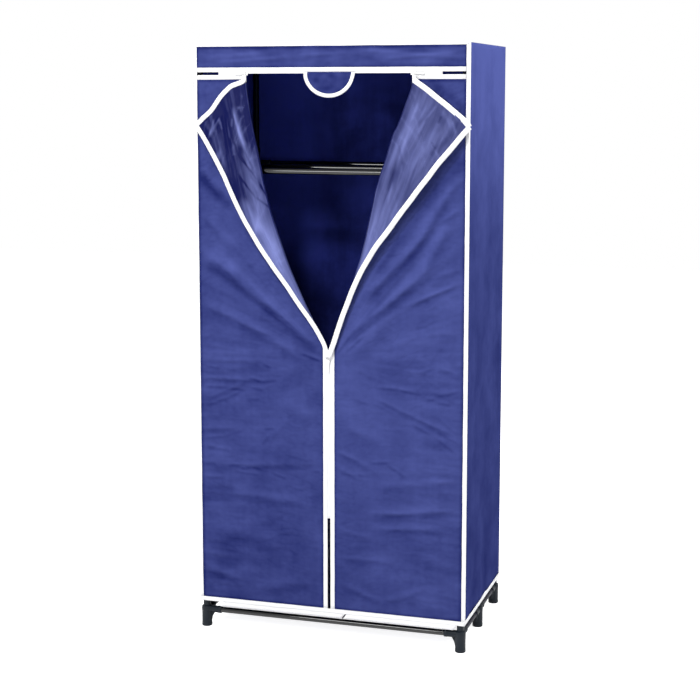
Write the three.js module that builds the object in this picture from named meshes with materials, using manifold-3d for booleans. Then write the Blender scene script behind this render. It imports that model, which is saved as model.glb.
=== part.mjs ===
// Portable wardrobe: a tube frame in plastic connectors, under a cloth cover with a T zip.
// Millimetres. X points right, Y to the back, Z up. The feet stand on Z zero.
import * as THREE from 'three';
import { mergeVertices } from 'three/addons/utils/BufferGeometryUtils.js';
import Module from 'manifold-3d';

const wasm = await Module();
wasm.setup();

// Driving dimensions of the cover
const coverWidth = 750;
const coverDepth = 450;
const coverHeight = 1600;
const clothThickness = 1.6;
const edgingThickness = 2.2;
const bindingWidth = 12;
const seatGap = 0.3;

// Driving dimensions of the frame
const tubeDiameter = 16;
const tubeWall = 1.2;
const socketDiameter = 21;
const socketFit = 0.3;
const socketReach = 44;
const socketFloor = 12;
const coverEase = 0.9;
const footDiameter = 29;
const footHeight = 58;
const baseRailHeight = 48;
const hangingRailDrop = 332;
const gussetThickness = 5;
const gussetFootHeight = 14;

// Driving dimensions of the door, its zips and its folded flaps
const hemHeight = 75;
const slitTopHeight = 338;
const zipVertexHeight = 778;
const valanceDrop = 61;
const zipBandHeight = 7.4;
const zipTapeWidth = 3.8;
const topZipEnd = 305;
const pipingWidth = 9;
const pipingDrop = 6;
const flapLean = THREE.MathUtils.degToRad(16.4);
const flapCornerAcross = 369;
const flapCornerDrop = 217;
const foldLift = 8;
const flapTopBow = 12;

// Driving dimensions of the tab, the sliders, their pulls and the hem wraps
const tabHalfWidth = 70;
const tabDrop = 66;
const sliderLength = 14;
const sliderWidth = 10;
const sliderPlate = 2;
const pullLength = 30;
const pullWidth = 7;
const pullThickness = 1.4;
const pullEyeRadius = 2.1;
const wrapBottomHeight = 61;
const wrapEndInset = 60;
const wrapSplit = 45;
const wrapGap = 3;
const wrapSlantShare = 0.8;

// Fineness of the round and the pressed shapes
const roundSides = 12;
const arcSteps = 10;
const cutOverrun = 2;
const weldDistance = 1e-4;

// Places worked out from the driving dimensions
const tubeRadius = tubeDiameter / 2;
const socketRadius = socketDiameter / 2;
const faceX = coverWidth / 2;
const faceY = coverDepth / 2;
const proud = (edgingThickness - clothThickness) / 2;
const innerX = faceX - clothThickness;
const innerY = faceY - clothThickness;
const postX = innerX - coverEase - socketRadius;
const postY = innerY - coverEase - socketRadius;
const roofUnderside = coverHeight - clothThickness;
const topRailHeight = roofUnderside - seatGap - socketRadius;
const hangingRailHeight = coverHeight - hangingRailDrop;
const hemTop = hemHeight + bindingWidth;
const valanceBottomHeight = coverHeight - valanceDrop;
const valanceBinding = valanceBottomHeight - bindingWidth;
const doorTopBinding = valanceBinding - zipBandHeight;
const doorTopHeight = doorTopBinding - bindingWidth;
const flapCornerHeight = coverHeight - flapCornerDrop;
const pipingInner = faceX - pipingWidth;
const edgingBack = -innerY + proud;
const tapeHalf = zipTapeWidth;
const centreBindingEdge = tapeHalf + bindingWidth;
const hingeY = -faceY - foldLift / 2;
const flapBack = -faceY - foldLift;
const rollRadius = foldLift / 2 - seatGap;

const colours = {
  cloth: { color: 0x3f478a, roughness: 0.8, metalness: 0 },
  edging: { color: 0xf4f4f4, roughness: 0.75, metalness: 0 },
  tape: { color: 0xf0f0ee, roughness: 0.6, metalness: 0 },
  tube: { color: 0x0c0c0e, roughness: 0.25, metalness: 0.4 },
  connector: { color: 0x33383f, roughness: 0.5, metalness: 0 },
  slider: { color: 0xf2f2f0, roughness: 0.35, metalness: 0.2 },
};

const axisX = new THREE.Vector3(1, 0, 0);
const axisY = new THREE.Vector3(0, 1, 0);
const axisZ = new THREE.Vector3(0, 0, 1);

const wardrobe = new THREE.Group();

// Adds one named piece to a group
function addPiece(name, geometry, finish, parent = wardrobe) {
  const mesh = new THREE.Mesh(geometry, new THREE.MeshStandardMaterial(colours[finish]));
  mesh.name = name;
  parent.add(mesh);
  return mesh;
}

// A closed geometry with its shared corners welded
function welded(geometry) {
  const bare = geometry.clone();
  bare.deleteAttribute('normal');
  bare.deleteAttribute('uv');
  return mergeVertices(bare, weldDistance);
}

// A geometry as a solid that can be joined and cut
function solid(geometry) {
  const closed = welded(geometry);
  return new wasm.Manifold(new wasm.Mesh({
    numProp: 3,
    vertProperties: Float32Array.from(closed.attributes.position.array),
    triVerts: Uint32Array.from(closed.index.array),
  }));
}

// A solid turned back into a geometry
function shapeOf(joined) {
  const mesh = joined.getMesh();
  const geometry = new THREE.BufferGeometry();
  geometry.setAttribute('position', new THREE.BufferAttribute(mesh.vertProperties, 3));
  geometry.setIndex(new THREE.BufferAttribute(mesh.triVerts, 1));
  return geometry;
}

function joined(geometries) {
  return geometries.map(solid).reduce((whole, next) => whole.add(next));
}

// A box between its lowest and its highest corner
function block(low, high) {
  const size = high.map((value, i) => value - low[i]);
  const middle = high.map((value, i) => (value + low[i]) / 2);
  return new THREE.BoxGeometry(...size).translate(...middle);
}

// A round bar from a point along a direction
function rod(radius, start, direction, length, sides = roundSides) {
  const geometry = new THREE.CylinderGeometry(radius, radius, length, sides);
  geometry.translate(0, length / 2, 0);
  geometry.applyQuaternion(new THREE.Quaternion().setFromUnitVectors(axisY, direction));
  return geometry.translate(start.x, start.y, start.z);
}

// A hollow tube from a point along a direction
function tube(start, direction, length) {
  const bore = tubeRadius - tubeWall;
  const profile = [
    new THREE.Vector2(bore, 0),
    new THREE.Vector2(tubeRadius, 0),
    new THREE.Vector2(tubeRadius, length),
    new THREE.Vector2(bore, length),
    new THREE.Vector2(bore, 0),
  ];
  const geometry = new THREE.LatheGeometry(profile, roundSides);
  geometry.applyQuaternion(new THREE.Quaternion().setFromUnitVectors(axisY, direction));
  return geometry.translate(start.x, start.y, start.z);
}

// A tube whose ends sit in the sockets of the connectors at two points
function tubeBetween(from, to) {
  const direction = to.clone().sub(from).normalize();
  const start = from.clone().addScaledVector(direction, socketFloor);
  return tube(start, direction, from.distanceTo(to) - 2 * socketFloor);
}

// A flat sheet cut to an outline in X and Z, from its back face towards the front
function slab(points, backY, thickness) {
  const shape = new THREE.Shape(points.map(([x, z]) => new THREE.Vector2(x, z)));
  const geometry = new THREE.ExtrudeGeometry(shape, { depth: thickness, bevelEnabled: false });
  return geometry.rotateX(Math.PI / 2).translate(0, backY, 0);
}

// Distance from a point to the stretch between two others, in X and Z
function distanceToStretch(x, z, [ax, az], [bx, bz]) {
  const along = ((x - ax) * (bx - ax) + (z - az) * (bz - az)) / ((bx - ax) ** 2 + (bz - az) ** 2);
  const t = THREE.MathUtils.clamp(along, 0, 1);
  return Math.hypot(x - ax - t * (bx - ax), z - az - t * (bz - az));
}

// A hanging sheet cut to an outline, with soft folds that stand out to the front
function hangingSheet(points, backY, folds, cells, edgeBand) {
  const xs = points.map((point) => point[0]);
  const zs = points.map((point) => point[1]);
  const low = [Math.min(...xs) - cutOverrun, Math.min(...zs) - cutOverrun];
  const high = [Math.max(...xs) + cutOverrun, Math.max(...zs) + cutOverrun];
  const sheet = new THREE.BoxGeometry(
    high[0] - low[0], clothThickness, high[1] - low[1], cells[0], 1, cells[1],
  );
  sheet.translate((low[0] + high[0]) / 2, backY - clothThickness / 2, (low[1] + high[1]) / 2);
  const place = sheet.attributes.position;
  let deepest = 0;
  for (let i = 0; i < place.count; i += 1) {
    const x = place.getX(i);
    const z = place.getZ(i);
    let edge = Infinity;
    points.forEach((point, j) => {
      const next = points[(j + 1) % points.length];
      edge = Math.min(edge, distanceToStretch(x, z, point, next));
    });
    const inside = insideOutline(points, x, z) ? THREE.MathUtils.smoothstep(edge, 0, edgeBand) : 0;
    let lift = 0;
    folds.forEach(({ from, to, width, height }) => {
      lift += height * Math.exp(-((distanceToStretch(x, z, from, to) / width) ** 2));
    });
    place.setY(i, place.getY(i) - lift * inside);
    deepest = Math.max(deepest, lift);
  }
  const cutter = slab(points, backY + cutOverrun, clothThickness + deepest + 2 * cutOverrun);
  return solid(sheet).intersect(solid(cutter));
}

// Whether a point lies inside an outline
function insideOutline(points, x, z) {
  let inside = false;
  points.forEach(([ax, az], j) => {
    const [bx, bz] = points[(j + 1) % points.length];
    const crosses = (az > z) !== (bz > z);
    if (crosses && x < ax + ((z - az) / (bz - az)) * (bx - ax)) inside = !inside;
  });
  return inside;
}

// The same outline on the left, or mirrored to the right
function sided(points, side) {
  const placed = points.map(([x, z]) => [-side * x, z]);
  return side < 0 ? placed : placed.reverse();
}

const sides = [['left', -1], ['right', 1]];
const ends = [['front', -1], ['back', 1]];

// Frame connectors: a hub with one socket for each tube that ends in it, and any run right through it
function connector(centre, directions, through = null, extras = []) {
  const hub = new THREE.SphereGeometry(socketRadius, roundSides, roundSides / 2);
  const outer = [hub.translate(centre.x, centre.y, centre.z)];
  const bores = [];
  const boreRadius = tubeRadius + socketFit;
  directions.forEach((direction) => {
    const floor = centre.clone().addScaledVector(direction, socketFloor - socketFit);
    const depth = socketReach - socketFloor + socketFit + cutOverrun;
    outer.push(rod(socketRadius, centre, direction, socketReach));
    bores.push(rod(boreRadius, floor, direction, depth));
  });
  if (through) {
    const start = centre.clone().addScaledVector(through, -socketReach);
    const entry = centre.clone().addScaledVector(through, -socketReach - cutOverrun);
    outer.push(rod(socketRadius, start, through, 2 * socketReach));
    bores.push(rod(boreRadius, entry, through, 2 * (socketReach + cutOverrun)));
  }
  return shapeOf(joined([...outer, ...extras]).subtract(joined(bores)));
}

// The foot below a base connector
function foot(centre) {
  return rod(footDiameter / 2, at(centre.x, centre.y, 0), axisZ, footHeight, 2 * roundSides);
}

// A web that ties the foot to the socket above it, along X or Y
function gusset(centre, direction) {
  const half = gussetThickness / 2;
  const footReach = footDiameter / 2;
  const shape = new THREE.Shape([
    new THREE.Vector2(0, gussetFootHeight),
    new THREE.Vector2(footReach, gussetFootHeight),
    new THREE.Vector2(socketReach, baseRailHeight - tubeRadius),
    new THREE.Vector2(0, baseRailHeight - tubeRadius),
  ]);
  const web = new THREE.ExtrudeGeometry(shape, { depth: gussetThickness, bevelEnabled: false });
  web.rotateX(Math.PI / 2).translate(0, half, 0);
  web.rotateZ(Math.atan2(direction.y, direction.x));
  return web.translate(centre.x, centre.y, 0);
}

function at(x, y, z) {
  return new THREE.Vector3(x, y, z);
}

const inwardX = (side) => axisX.clone().multiplyScalar(-side);
const inwardY = (end) => axisY.clone().multiplyScalar(-end);
const down = axisZ.clone().negate();

// Corners: base connector with its foot, upright, rail connector and top connector
sides.forEach(([sideName, side]) => {
  ends.forEach(([endName, end]) => {
    const place = `${endName}_${sideName}`;
    const base = at(side * postX, end * postY, baseRailHeight);
    const rail = at(side * postX, end * postY, hangingRailHeight);
    const top = at(side * postX, end * postY, topRailHeight);
    const runs = [inwardX(side), inwardY(end)];
    const webs = runs.map((run) => gusset(base, run));
    const corner = connector(base, [...runs, axisZ], null, [foot(base), ...webs]);
    addPiece(`base_corner_${place}`, corner, 'connector');
    addPiece(`upright_${place}`, tubeBetween(base, top), 'tube');
    addPiece(`rail_corner_${place}`, connector(rail, runs, axisZ), 'connector');
    addPiece(`top_corner_${place}`, connector(top, [...runs, down]), 'connector');
  });
});

// Sides: rails from front to back at three heights, and the tees half way along two of them
sides.forEach(([sideName, side]) => {
  const x = side * postX;
  const runAlong = (height) => tubeBetween(at(x, -postY, height), at(x, postY, height));
  const baseTee = at(x, 0, baseRailHeight);
  const webs = [inwardX(side), axisY, axisY.clone().negate()].map((run) => gusset(baseTee, run));
  const standing = connector(baseTee, [inwardX(side)], axisY, [foot(baseTee), ...webs]);
  addPiece(`base_tee_${sideName}`, standing, 'connector');
  addPiece(`base_rail_${sideName}`, runAlong(baseRailHeight), 'tube');
  const railTee = connector(at(x, 0, hangingRailHeight), [inwardX(side)], axisY);
  addPiece(`rail_tee_${sideName}`, railTee, 'connector');
  addPiece(`rail_bar_${sideName}`, runAlong(hangingRailHeight), 'tube');
  addPiece(`top_rail_${sideName}`, runAlong(topRailHeight), 'tube');
});

// Rails across, from the left side to the right
function runAcross(y, height) {
  return tubeBetween(at(-postX, y, height), at(postX, y, height));
}
ends.forEach(([endName, end]) => {
  addPiece(`base_rail_${endName}`, runAcross(end * postY, baseRailHeight), 'tube');
  addPiece(`rail_bar_${endName}`, runAcross(end * postY, hangingRailHeight), 'tube');
  addPiece(`top_rail_${endName}`, runAcross(end * postY, topRailHeight), 'tube');
});
addPiece('base_rail_middle', runAcross(0, baseRailHeight), 'tube');

// The hanging rail is two tubes, pressed together where the wider one's end makes a step
const stepHeight = 0.5;
const stepLength = 34;
const hangingJoinX = -98;
const stepStart = at(hangingJoinX, 0, hangingRailHeight);
const boreStart = at(hangingJoinX - cutOverrun, 0, hangingRailHeight);
const stepSleeve = solid(rod(tubeRadius + stepHeight, stepStart, axisX, stepLength));
const stepBore = solid(rod(tubeRadius - tubeWall / 2, boreStart, axisX, stepLength + 2 * cutOverrun));
const railTube = solid(runAcross(0, hangingRailHeight));
addPiece('hanging_rail', shapeOf(railTube.add(stepSleeve.subtract(stepBore))), 'tube');

// Floor sheet, laid over the base rails between the corner connectors
const floorHalfX = postX - socketReach - cutOverrun;
const floorHalfY = postY + tubeRadius;
const floorLow = baseRailHeight + tubeRadius + seatGap;
const floorHigh = floorLow + clothThickness;
const floorSheet = block([-floorHalfX, -floorHalfY, floorLow], [floorHalfX, floorHalfY, floorHigh]);
addPiece('floor_sheet', floorSheet, 'cloth');

// A box from X, Y and Z on one side, given as positive X and put on either side
function sideBlock(side, [ax, ay, az], [bx, by, bz]) {
  const [lowX, highX] = [side * ax, side * bx].sort((p, q) => p - q);
  return block([lowX, ay, az], [highX, by, bz]);
}

// Roof, back and side panels of the cover
const frontFace = -faceY;
const frontProud = frontFace - proud;
const pipingBack = frontFace + pipingWidth;
const roofLow = [-innerX, pipingBack, roofUnderside];
addPiece('roof_panel', block(roofLow, [innerX, faceY, coverHeight]), 'cloth');
addPiece('back_panel', block([-innerX, innerY, hemTop], [innerX, faceY, roofUnderside]), 'cloth');
sides.forEach(([sideName, side]) => {
  const panel = sideBlock(side, [innerX, pipingBack, hemTop], [faceX, faceY, coverHeight]);
  addPiece(`side_panel_${sideName}`, panel, 'cloth');
});

// White piping round the front edges: an angle strip up both front corners and along the top
const pipingParts = [
  block([-pipingInner, frontProud, coverHeight - pipingDrop], [pipingInner, edgingBack, coverHeight]),
  block([-pipingInner, frontProud, roofUnderside], [pipingInner, pipingBack, coverHeight]),
];
sides.forEach(([, side]) => {
  const outerX = faceX + proud;
  pipingParts.push(
    sideBlock(side, [pipingInner, frontProud, hemTop], [outerX, edgingBack, coverHeight]),
    sideBlock(side, [innerX + proud, frontProud, hemTop], [outerX, pipingBack, coverHeight]),
  );
});
const pipingLids = sides.map(([, side]) => sideBlock(
  side,
  [pipingInner, frontProud, roofUnderside],
  [faceX + proud, pipingBack, coverHeight],
));
addPiece('front_piping', shapeOf(joined([...pipingParts, ...pipingLids])), 'edging');

// Valance across the top of the front, and its binding
const valanceFoldHeight = 1.4;
const valanceCells = [16, 6];
const valanceTop = coverHeight - pipingDrop;
const valanceHeight = valanceTop - valanceBottomHeight;
const valanceOutline = [
  [-pipingInner, valanceBottomHeight],
  [pipingInner, valanceBottomHeight],
  [pipingInner, valanceTop],
  [-pipingInner, valanceTop],
];
const valanceFoldShares = [
  { from: [-0.95, 0.45], to: [-0.1, 0.62] },
  { from: [0.05, 0.55], to: [0.9, 0.4] },
];
const valanceFolds = valanceFoldShares.map((fold) => {
  const place = ([across, up]) => [across * pipingInner, valanceBottomHeight + up * valanceHeight];
  return { from: place(fold.from), to: place(fold.to), width: valanceHeight / 4, height: valanceFoldHeight };
});
const valance = hangingSheet(valanceOutline, -innerY, valanceFolds, valanceCells, bindingWidth);
addPiece('valance_panel', shapeOf(valance), 'cloth');
const bindingLow = [-pipingInner, frontProud, valanceBinding];
const bindingHigh = [pipingInner, edgingBack, valanceBottomHeight];
addPiece('valance_binding', block(bindingLow, bindingHigh), 'edging');

// Distance of the fold line from the centre line at a height
function foldX(height) {
  return Math.max(0, (height - zipVertexHeight) * Math.tan(flapLean));
}
const foldAngleGap = seatGap / Math.cos(flapLean);

// Cross zip: its upper tape runs right across, and is still closed onto the lower one at both ends
const upperTapeLow = valanceBinding - zipBandHeight / 2;
const crossZip = [
  block([-topZipEnd, frontFace, upperTapeLow], [topZipEnd, -innerY, valanceBinding]),
  ...sides.map(([, side]) => sideBlock(
    side,
    [foldX(valanceBinding) + foldAngleGap, frontFace, doorTopBinding],
    [topZipEnd, -innerY, valanceBinding],
  )),
];
addPiece('cross_zip', shapeOf(joined(crossZip)), 'tape');

// Centre zip, closed below the vertex of the opening
const centreZipLow = [-zipTapeWidth, frontFace, slitTopHeight];
addPiece('centre_zip', block(centreZipLow, [zipTapeWidth, -innerY, zipVertexHeight]), 'tape');

// Door halves. Each is cut along the fold line, where the cloth rolls round to the front
const doorFoldShares = [
  { from: [0.12, 0.42], to: [0.62, 0.36], rise: 0.9 },
  { from: [0.06, 0.3], to: [0.7, 0.22], rise: 1 },
  { from: [0.16, 0.52], to: [0.86, 0.56], rise: 0.85 },
  { from: [0.3, 0.1], to: [0.92, 0.13], rise: 0.75 },
];
const doorFoldHeight = 2.6;
const doorFoldWidth = 26;
const doorCells = [8, 26];
const doorEdgeBand = 34;
const bindingTopAtFold = zipVertexHeight + centreBindingEdge / Math.tan(flapLean);

function doorFolds(side) {
  const place = ([across, up]) => [
    side * THREE.MathUtils.lerp(centreBindingEdge, pipingInner, across),
    THREE.MathUtils.lerp(hemTop, doorTopHeight, up),
  ];
  return doorFoldShares.map(({ from, to, rise }) => (
    { from: place(from), to: place(to), width: doorFoldWidth, height: doorFoldHeight * rise }
  ));
}

// The roll along the fold line, which the folded flap turns round
function foldRoll(side) {
  const start = at(side * foldX(bindingTopAtFold), hingeY, bindingTopAtFold);
  const end = at(side * foldX(doorTopHeight), hingeY, doorTopHeight);
  const direction = end.clone().sub(start).normalize();
  return rod(rollRadius, start, direction, end.distanceTo(start));
}

sides.forEach(([sideName, side]) => {
  const topEdge = foldX(doorTopHeight) + foldAngleGap;
  const outline = sided([
    [-pipingInner, hemTop],
    [-centreBindingEdge, hemTop],
    [-centreBindingEdge - foldAngleGap, bindingTopAtFold],
    [-topEdge, doorTopHeight],
    [-pipingInner, doorTopHeight],
  ], side);
  const lip = slab(sided([
    [-centreBindingEdge - foldAngleGap - rollRadius, bindingTopAtFold],
    [-centreBindingEdge - foldAngleGap, bindingTopAtFold],
    [-topEdge, doorTopHeight],
    [-topEdge - rollRadius, doorTopHeight],
  ], side), -innerY, clothThickness + foldLift / 2);
  const panel = hangingSheet(outline, -innerY, doorFolds(side), doorCells, doorEdgeBand);
  const door = panel.add(solid(lip)).add(solid(foldRoll(side)));
  addPiece(`door_${sideName}`, shapeOf(door), 'cloth');

  const topBinding = slab(sided([
    [-pipingInner, doorTopHeight],
    [-topEdge, doorTopHeight],
    [-foldX(doorTopBinding) - foldAngleGap, doorTopBinding],
    [-pipingInner, doorTopBinding],
  ], side), edgingBack, edgingThickness);
  addPiece(`door_top_binding_${sideName}`, topBinding, 'edging');

  const tapeTop = zipVertexHeight + (zipTapeWidth - foldAngleGap) / Math.tan(flapLean);
  const centreBinding = slab(sided([
    [-centreBindingEdge, hemTop],
    [-zipTapeWidth, hemTop],
    [-zipTapeWidth, tapeTop],
    [-centreBindingEdge, bindingTopAtFold - foldAngleGap / Math.tan(flapLean)],
  ], side), edgingBack, edgingThickness);
  addPiece(`centre_binding_${sideName}`, centreBinding, 'edging');
});

// Hem binding all round the bottom, with the two wraps below it along the front
const wrapSlant = (hemHeight - wrapBottomHeight) * wrapSlantShare;
const wrapEnd = pipingInner - wrapEndInset;
const wrapRuns = [[-wrapEnd, wrapSplit], [wrapSplit + wrapGap, wrapEnd]];
const wraps = wrapRuns.map(([from, to]) => slab([
  [from - wrapSlant, wrapBottomHeight],
  [to - wrapSlant, wrapBottomHeight],
  [to, hemHeight],
  [from, hemHeight],
], edgingBack, edgingThickness));
const hemOuterX = faceX + proud;
const hemOuterY = faceY + proud;
const hem = [
  block([-hemOuterX, -hemOuterY, hemHeight], [hemOuterX, edgingBack, hemTop]),
  block([-hemOuterX, -edgingBack, hemHeight], [hemOuterX, hemOuterY, hemTop]),
  ...sides.map(([, side]) => sideBlock(
    side,
    [hemOuterX - edgingThickness, -hemOuterY, hemHeight],
    [hemOuterX, hemOuterY, hemTop],
  )),
];
addPiece('hem_binding', shapeOf(joined([...hem, ...wraps])), 'edging');

// Flaps: the upper corners of the door halves, folded out and back along the fold line
const cornerRise = flapCornerHeight - zipVertexHeight;
const cornerReach = Math.hypot(flapCornerAcross, cornerRise);
const cornerAngle = Math.min(Math.atan2(flapCornerAcross, cornerRise), 2 * flapLean);
const flapEdging = bindingWidth + zipTapeWidth;

// A point at a distance from the zip vertex and an angle off the centre line
function spoke(reach, angle) {
  return [-reach * Math.sin(angle), zipVertexHeight + reach * Math.cos(angle)];
}

// The bowed top edge of the folded flap, from the fold to the corner
const flapTopStart = [-foldX(doorTopBinding), doorTopBinding];
const flapCorner = spoke(cornerReach, cornerAngle);
const flapTopLength = Math.hypot(flapCorner[0] - flapTopStart[0], flapCorner[1] - flapTopStart[1]);
const flapTopDirection = flapCorner.map((value, i) => (value - flapTopStart[i]) / flapTopLength);
const flapTopEdge = Array.from({ length: arcSteps + 1 }, (_, i) => {
  const along = (i / arcSteps) * flapTopLength;
  const rise = flapTopBow * Math.sin((Math.PI * i) / arcSteps);
  return [
    flapTopStart[0] + flapTopDirection[0] * along + flapTopDirection[1] * rise,
    flapTopStart[1] + flapTopDirection[1] * along - flapTopDirection[0] * rise,
  ];
});

// The window in the flap's edging: the outline moved in from the top edge and from the free edge
function flapWindow(outline, side) {
  const whole = solid(slab(outline, flapBack + cutOverrun, edgingThickness + 2 * cutOverrun));
  const fromTop = [
    side * flapTopDirection[1] * flapEdging,
    0,
    flapTopDirection[0] * flapEdging,
  ];
  const fromFree = [
    -side * Math.cos(cornerAngle) * flapEdging,
    0,
    Math.sin(cornerAngle) * flapEdging,
  ];
  return whole.translate(fromTop).intersect(whole.translate(fromFree));
}

const flapFoldShares = [
  { from: [0.35, 0.3], to: [0.88, 0.34], rise: 1 },
  { from: [0.42, 0.62], to: [0.9, 0.66], rise: 0.9 },
];
const flapFoldHeight = 2.2;
const flapFoldWidth = 13;
const flapCells = [10, 24];
const flapEdgeBand = 22;

sides.forEach(([sideName, side]) => {
  const tip = spoke(zipTapeWidth / Math.sin(cornerAngle - flapLean), flapLean);
  const outline = sided([tip, ...flapTopEdge], side);
  const folds = flapFoldShares.map(({ from, to, rise }) => {
    const place = ([reach, turn]) => {
      const [x, z] = spoke(reach * cornerReach, THREE.MathUtils.lerp(flapLean, cornerAngle, turn));
      return [-side * x, z];
    };
    return { from: place(from), to: place(to), width: flapFoldWidth, height: flapFoldHeight * rise };
  });
  const sheet = hangingSheet(outline, flapBack, folds, flapCells, flapEdgeBand);
  const rim = solid(slab(outline, flapBack, edgingThickness));
  const edging = rim.subtract(flapWindow(outline, side));
  addPiece(`flap_${sideName}`, shapeOf(sheet.add(edging)), 'cloth');
});

// Tab: a half round of cloth with a bound edge, hung in front of the cross zip
const tabTop = valanceBinding - seatGap;
const tabBack = frontProud - seatGap;
function halfRound(halfWidth, drop) {
  const points = [];
  for (let i = 0; i <= 2 * arcSteps; i += 1) {
    const angle = Math.PI + (Math.PI * i) / (2 * arcSteps);
    points.push([halfWidth * Math.cos(angle), tabTop + drop * Math.sin(angle)]);
  }
  return points;
}
const tabSheet = solid(slab(halfRound(tabHalfWidth, tabDrop), tabBack, clothThickness));
const tabRim = solid(slab(halfRound(tabHalfWidth, tabDrop), tabBack, edgingThickness));
const tabFace = slab(
  halfRound(tabHalfWidth - bindingWidth, tabDrop - bindingWidth),
  tabBack + cutOverrun,
  edgingThickness + 2 * cutOverrun,
);
addPiece('tab', shapeOf(tabSheet.add(tabRim.subtract(solid(tabFace)))), 'cloth');

// Sliders: a plate over the zip with two ears and a pin, and a pull that swings on the pin.
// Both are laid out to slide along Z, and turned for the cross zip.
const pinRadius = 0.9;
const pinHeight = sliderPlate + seatGap + pullEyeRadius;
const earWidth = (sliderWidth - pullWidth) / 2 - seatGap;

function sliderShape() {
  const halfLong = sliderLength / 2;
  const halfWide = sliderWidth / 2;
  const earHalf = pullEyeRadius;
  const parts = [
    block([-halfWide, -sliderPlate, -halfLong], [halfWide, 0, halfLong]),
    rod(pinRadius, at(-halfWide + earWidth / 2, -pinHeight, 0), axisX, sliderWidth - earWidth, roundSides / 2),
  ];
  [-1, 1].forEach((side) => {
    const outer = side * halfWide;
    const inner = side * (halfWide - earWidth);
    const low = [Math.min(outer, inner), -pinHeight - earHalf, -earHalf];
    parts.push(block(low, [Math.max(outer, inner), 0, earHalf]));
  });
  return shapeOf(joined(parts));
}

function pullShape() {
  const halfWide = pullWidth / 2;
  const eye = solid(rod(pullEyeRadius, at(-halfWide, -pinHeight, 0), axisX, pullWidth));
  const plateLow = [-halfWide, -pinHeight - pullThickness / 2, -pullLength];
  const plate = solid(block(plateLow, [halfWide, -pinHeight + pullThickness / 2, 0]));
  const eyeStart = at(-halfWide - cutOverrun, -pinHeight, 0);
  const bore = solid(rod(pinRadius + seatGap, eyeStart, axisX, pullWidth + 2 * cutOverrun));
  return shapeOf(eye.add(plate).subtract(bore));
}

const crossZipMiddle = valanceBinding - zipBandHeight / 2;
const crossSliderX = foldX(doorTopBinding) + sliderLength / 2 + bindingWidth / 4;
const sliders = [
  ['centre', 0, zipVertexHeight - sliderLength / 2 - cutOverrun, 0],
  ['left', -crossSliderX, crossZipMiddle, Math.PI / 2],
  ['right', crossSliderX, crossZipMiddle, -Math.PI / 2],
];
sliders.forEach(([name, x, z, turn]) => {
  const holder = new THREE.Group();
  holder.position.set(x, frontProud - seatGap, z);
  holder.rotation.y = turn;
  wardrobe.add(holder);
  addPiece(`slider_${name}`, sliderShape(), 'slider', holder);
  addPiece(`pull_${name}`, pullShape(), 'slider', holder);
});

// The feet, the back and the folded flaps stand evenly about the middle, front to back
const overall = new THREE.Box3().setFromObject(wardrobe);
wardrobe.position.y = -(overall.min.y + overall.max.y) / 2;

export default wardrobe;
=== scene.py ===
# %% [markdown]
# A portable fabric wardrobe: a frame of black tubes in moulded connectors, and over it a cover
# of navy non-woven cloth with white bindings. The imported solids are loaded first, because
# every piece made here is placed by them and moves with them.

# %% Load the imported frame
from math import atan2, cos, exp, hypot, pi, radians, sin

import bmesh
import bpy
from mathutils import Matrix, Vector, noise


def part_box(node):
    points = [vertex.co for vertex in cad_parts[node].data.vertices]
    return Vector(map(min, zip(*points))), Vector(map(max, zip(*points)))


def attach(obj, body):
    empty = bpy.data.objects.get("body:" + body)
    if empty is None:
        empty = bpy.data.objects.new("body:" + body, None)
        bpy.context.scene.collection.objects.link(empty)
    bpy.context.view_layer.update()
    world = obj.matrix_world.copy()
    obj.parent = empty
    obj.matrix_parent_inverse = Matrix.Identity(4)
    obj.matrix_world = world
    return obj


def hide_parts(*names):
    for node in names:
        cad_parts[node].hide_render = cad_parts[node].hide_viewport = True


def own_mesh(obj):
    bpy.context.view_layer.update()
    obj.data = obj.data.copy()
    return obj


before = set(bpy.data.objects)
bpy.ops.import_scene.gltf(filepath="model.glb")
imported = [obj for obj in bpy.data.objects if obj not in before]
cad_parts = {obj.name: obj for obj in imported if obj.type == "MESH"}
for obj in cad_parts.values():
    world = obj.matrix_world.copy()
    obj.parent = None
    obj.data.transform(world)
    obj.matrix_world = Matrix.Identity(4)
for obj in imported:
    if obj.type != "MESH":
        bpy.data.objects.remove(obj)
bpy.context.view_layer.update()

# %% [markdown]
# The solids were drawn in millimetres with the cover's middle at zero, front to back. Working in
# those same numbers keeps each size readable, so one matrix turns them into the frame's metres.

MM = 0.001
half_depth = 225
back_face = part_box("back_panel")[1].y
shift_back = back_face - half_depth * MM
cover_to_frame = Matrix.Translation((0, shift_back, 0)) @ Matrix.Scale(MM, 4)

# %% [markdown]
# The camera stands where the photograph was taken from: a little to the right, four metres
# away and almost at the height of the roof. Its place, turn and lens were found by fitting
# the corners of the cover and the feet. A small shift of the lens keeps the upright edges
# upright without tilting the camera far down.

# %% Camera at the photograph's place
image_side = 700
focal_px = 1552.1
axis_px = (350, 300)
camera_place = Vector((1246.2, -4091.5, 1473.1))
camera_yaw = radians(-17.067)
camera_pitch = radians(7.603)

camera_data = bpy.data.cameras.new("photo_camera")
camera = bpy.data.objects.new("photo_camera", camera_data)
scene = bpy.context.scene
scene.collection.objects.link(camera)
scene.camera = camera
camera_data.lens = focal_px / image_side * camera_data.sensor_width
camera_data.shift_x = (image_side / 2 - axis_px[0]) / image_side
camera_data.shift_y = (axis_px[1] - image_side / 2) / image_side
level_part = cos(camera_pitch)
looks = Vector((sin(camera_yaw) * level_part, cos(camera_yaw) * level_part, -sin(camera_pitch)))
camera.rotation_mode = "QUATERNION"
camera.rotation_quaternion = looks.to_track_quat("-Z", "Y")
camera.location = cover_to_frame @ camera_place
print("lens", round(camera_data.lens, 2), "mm")

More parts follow.
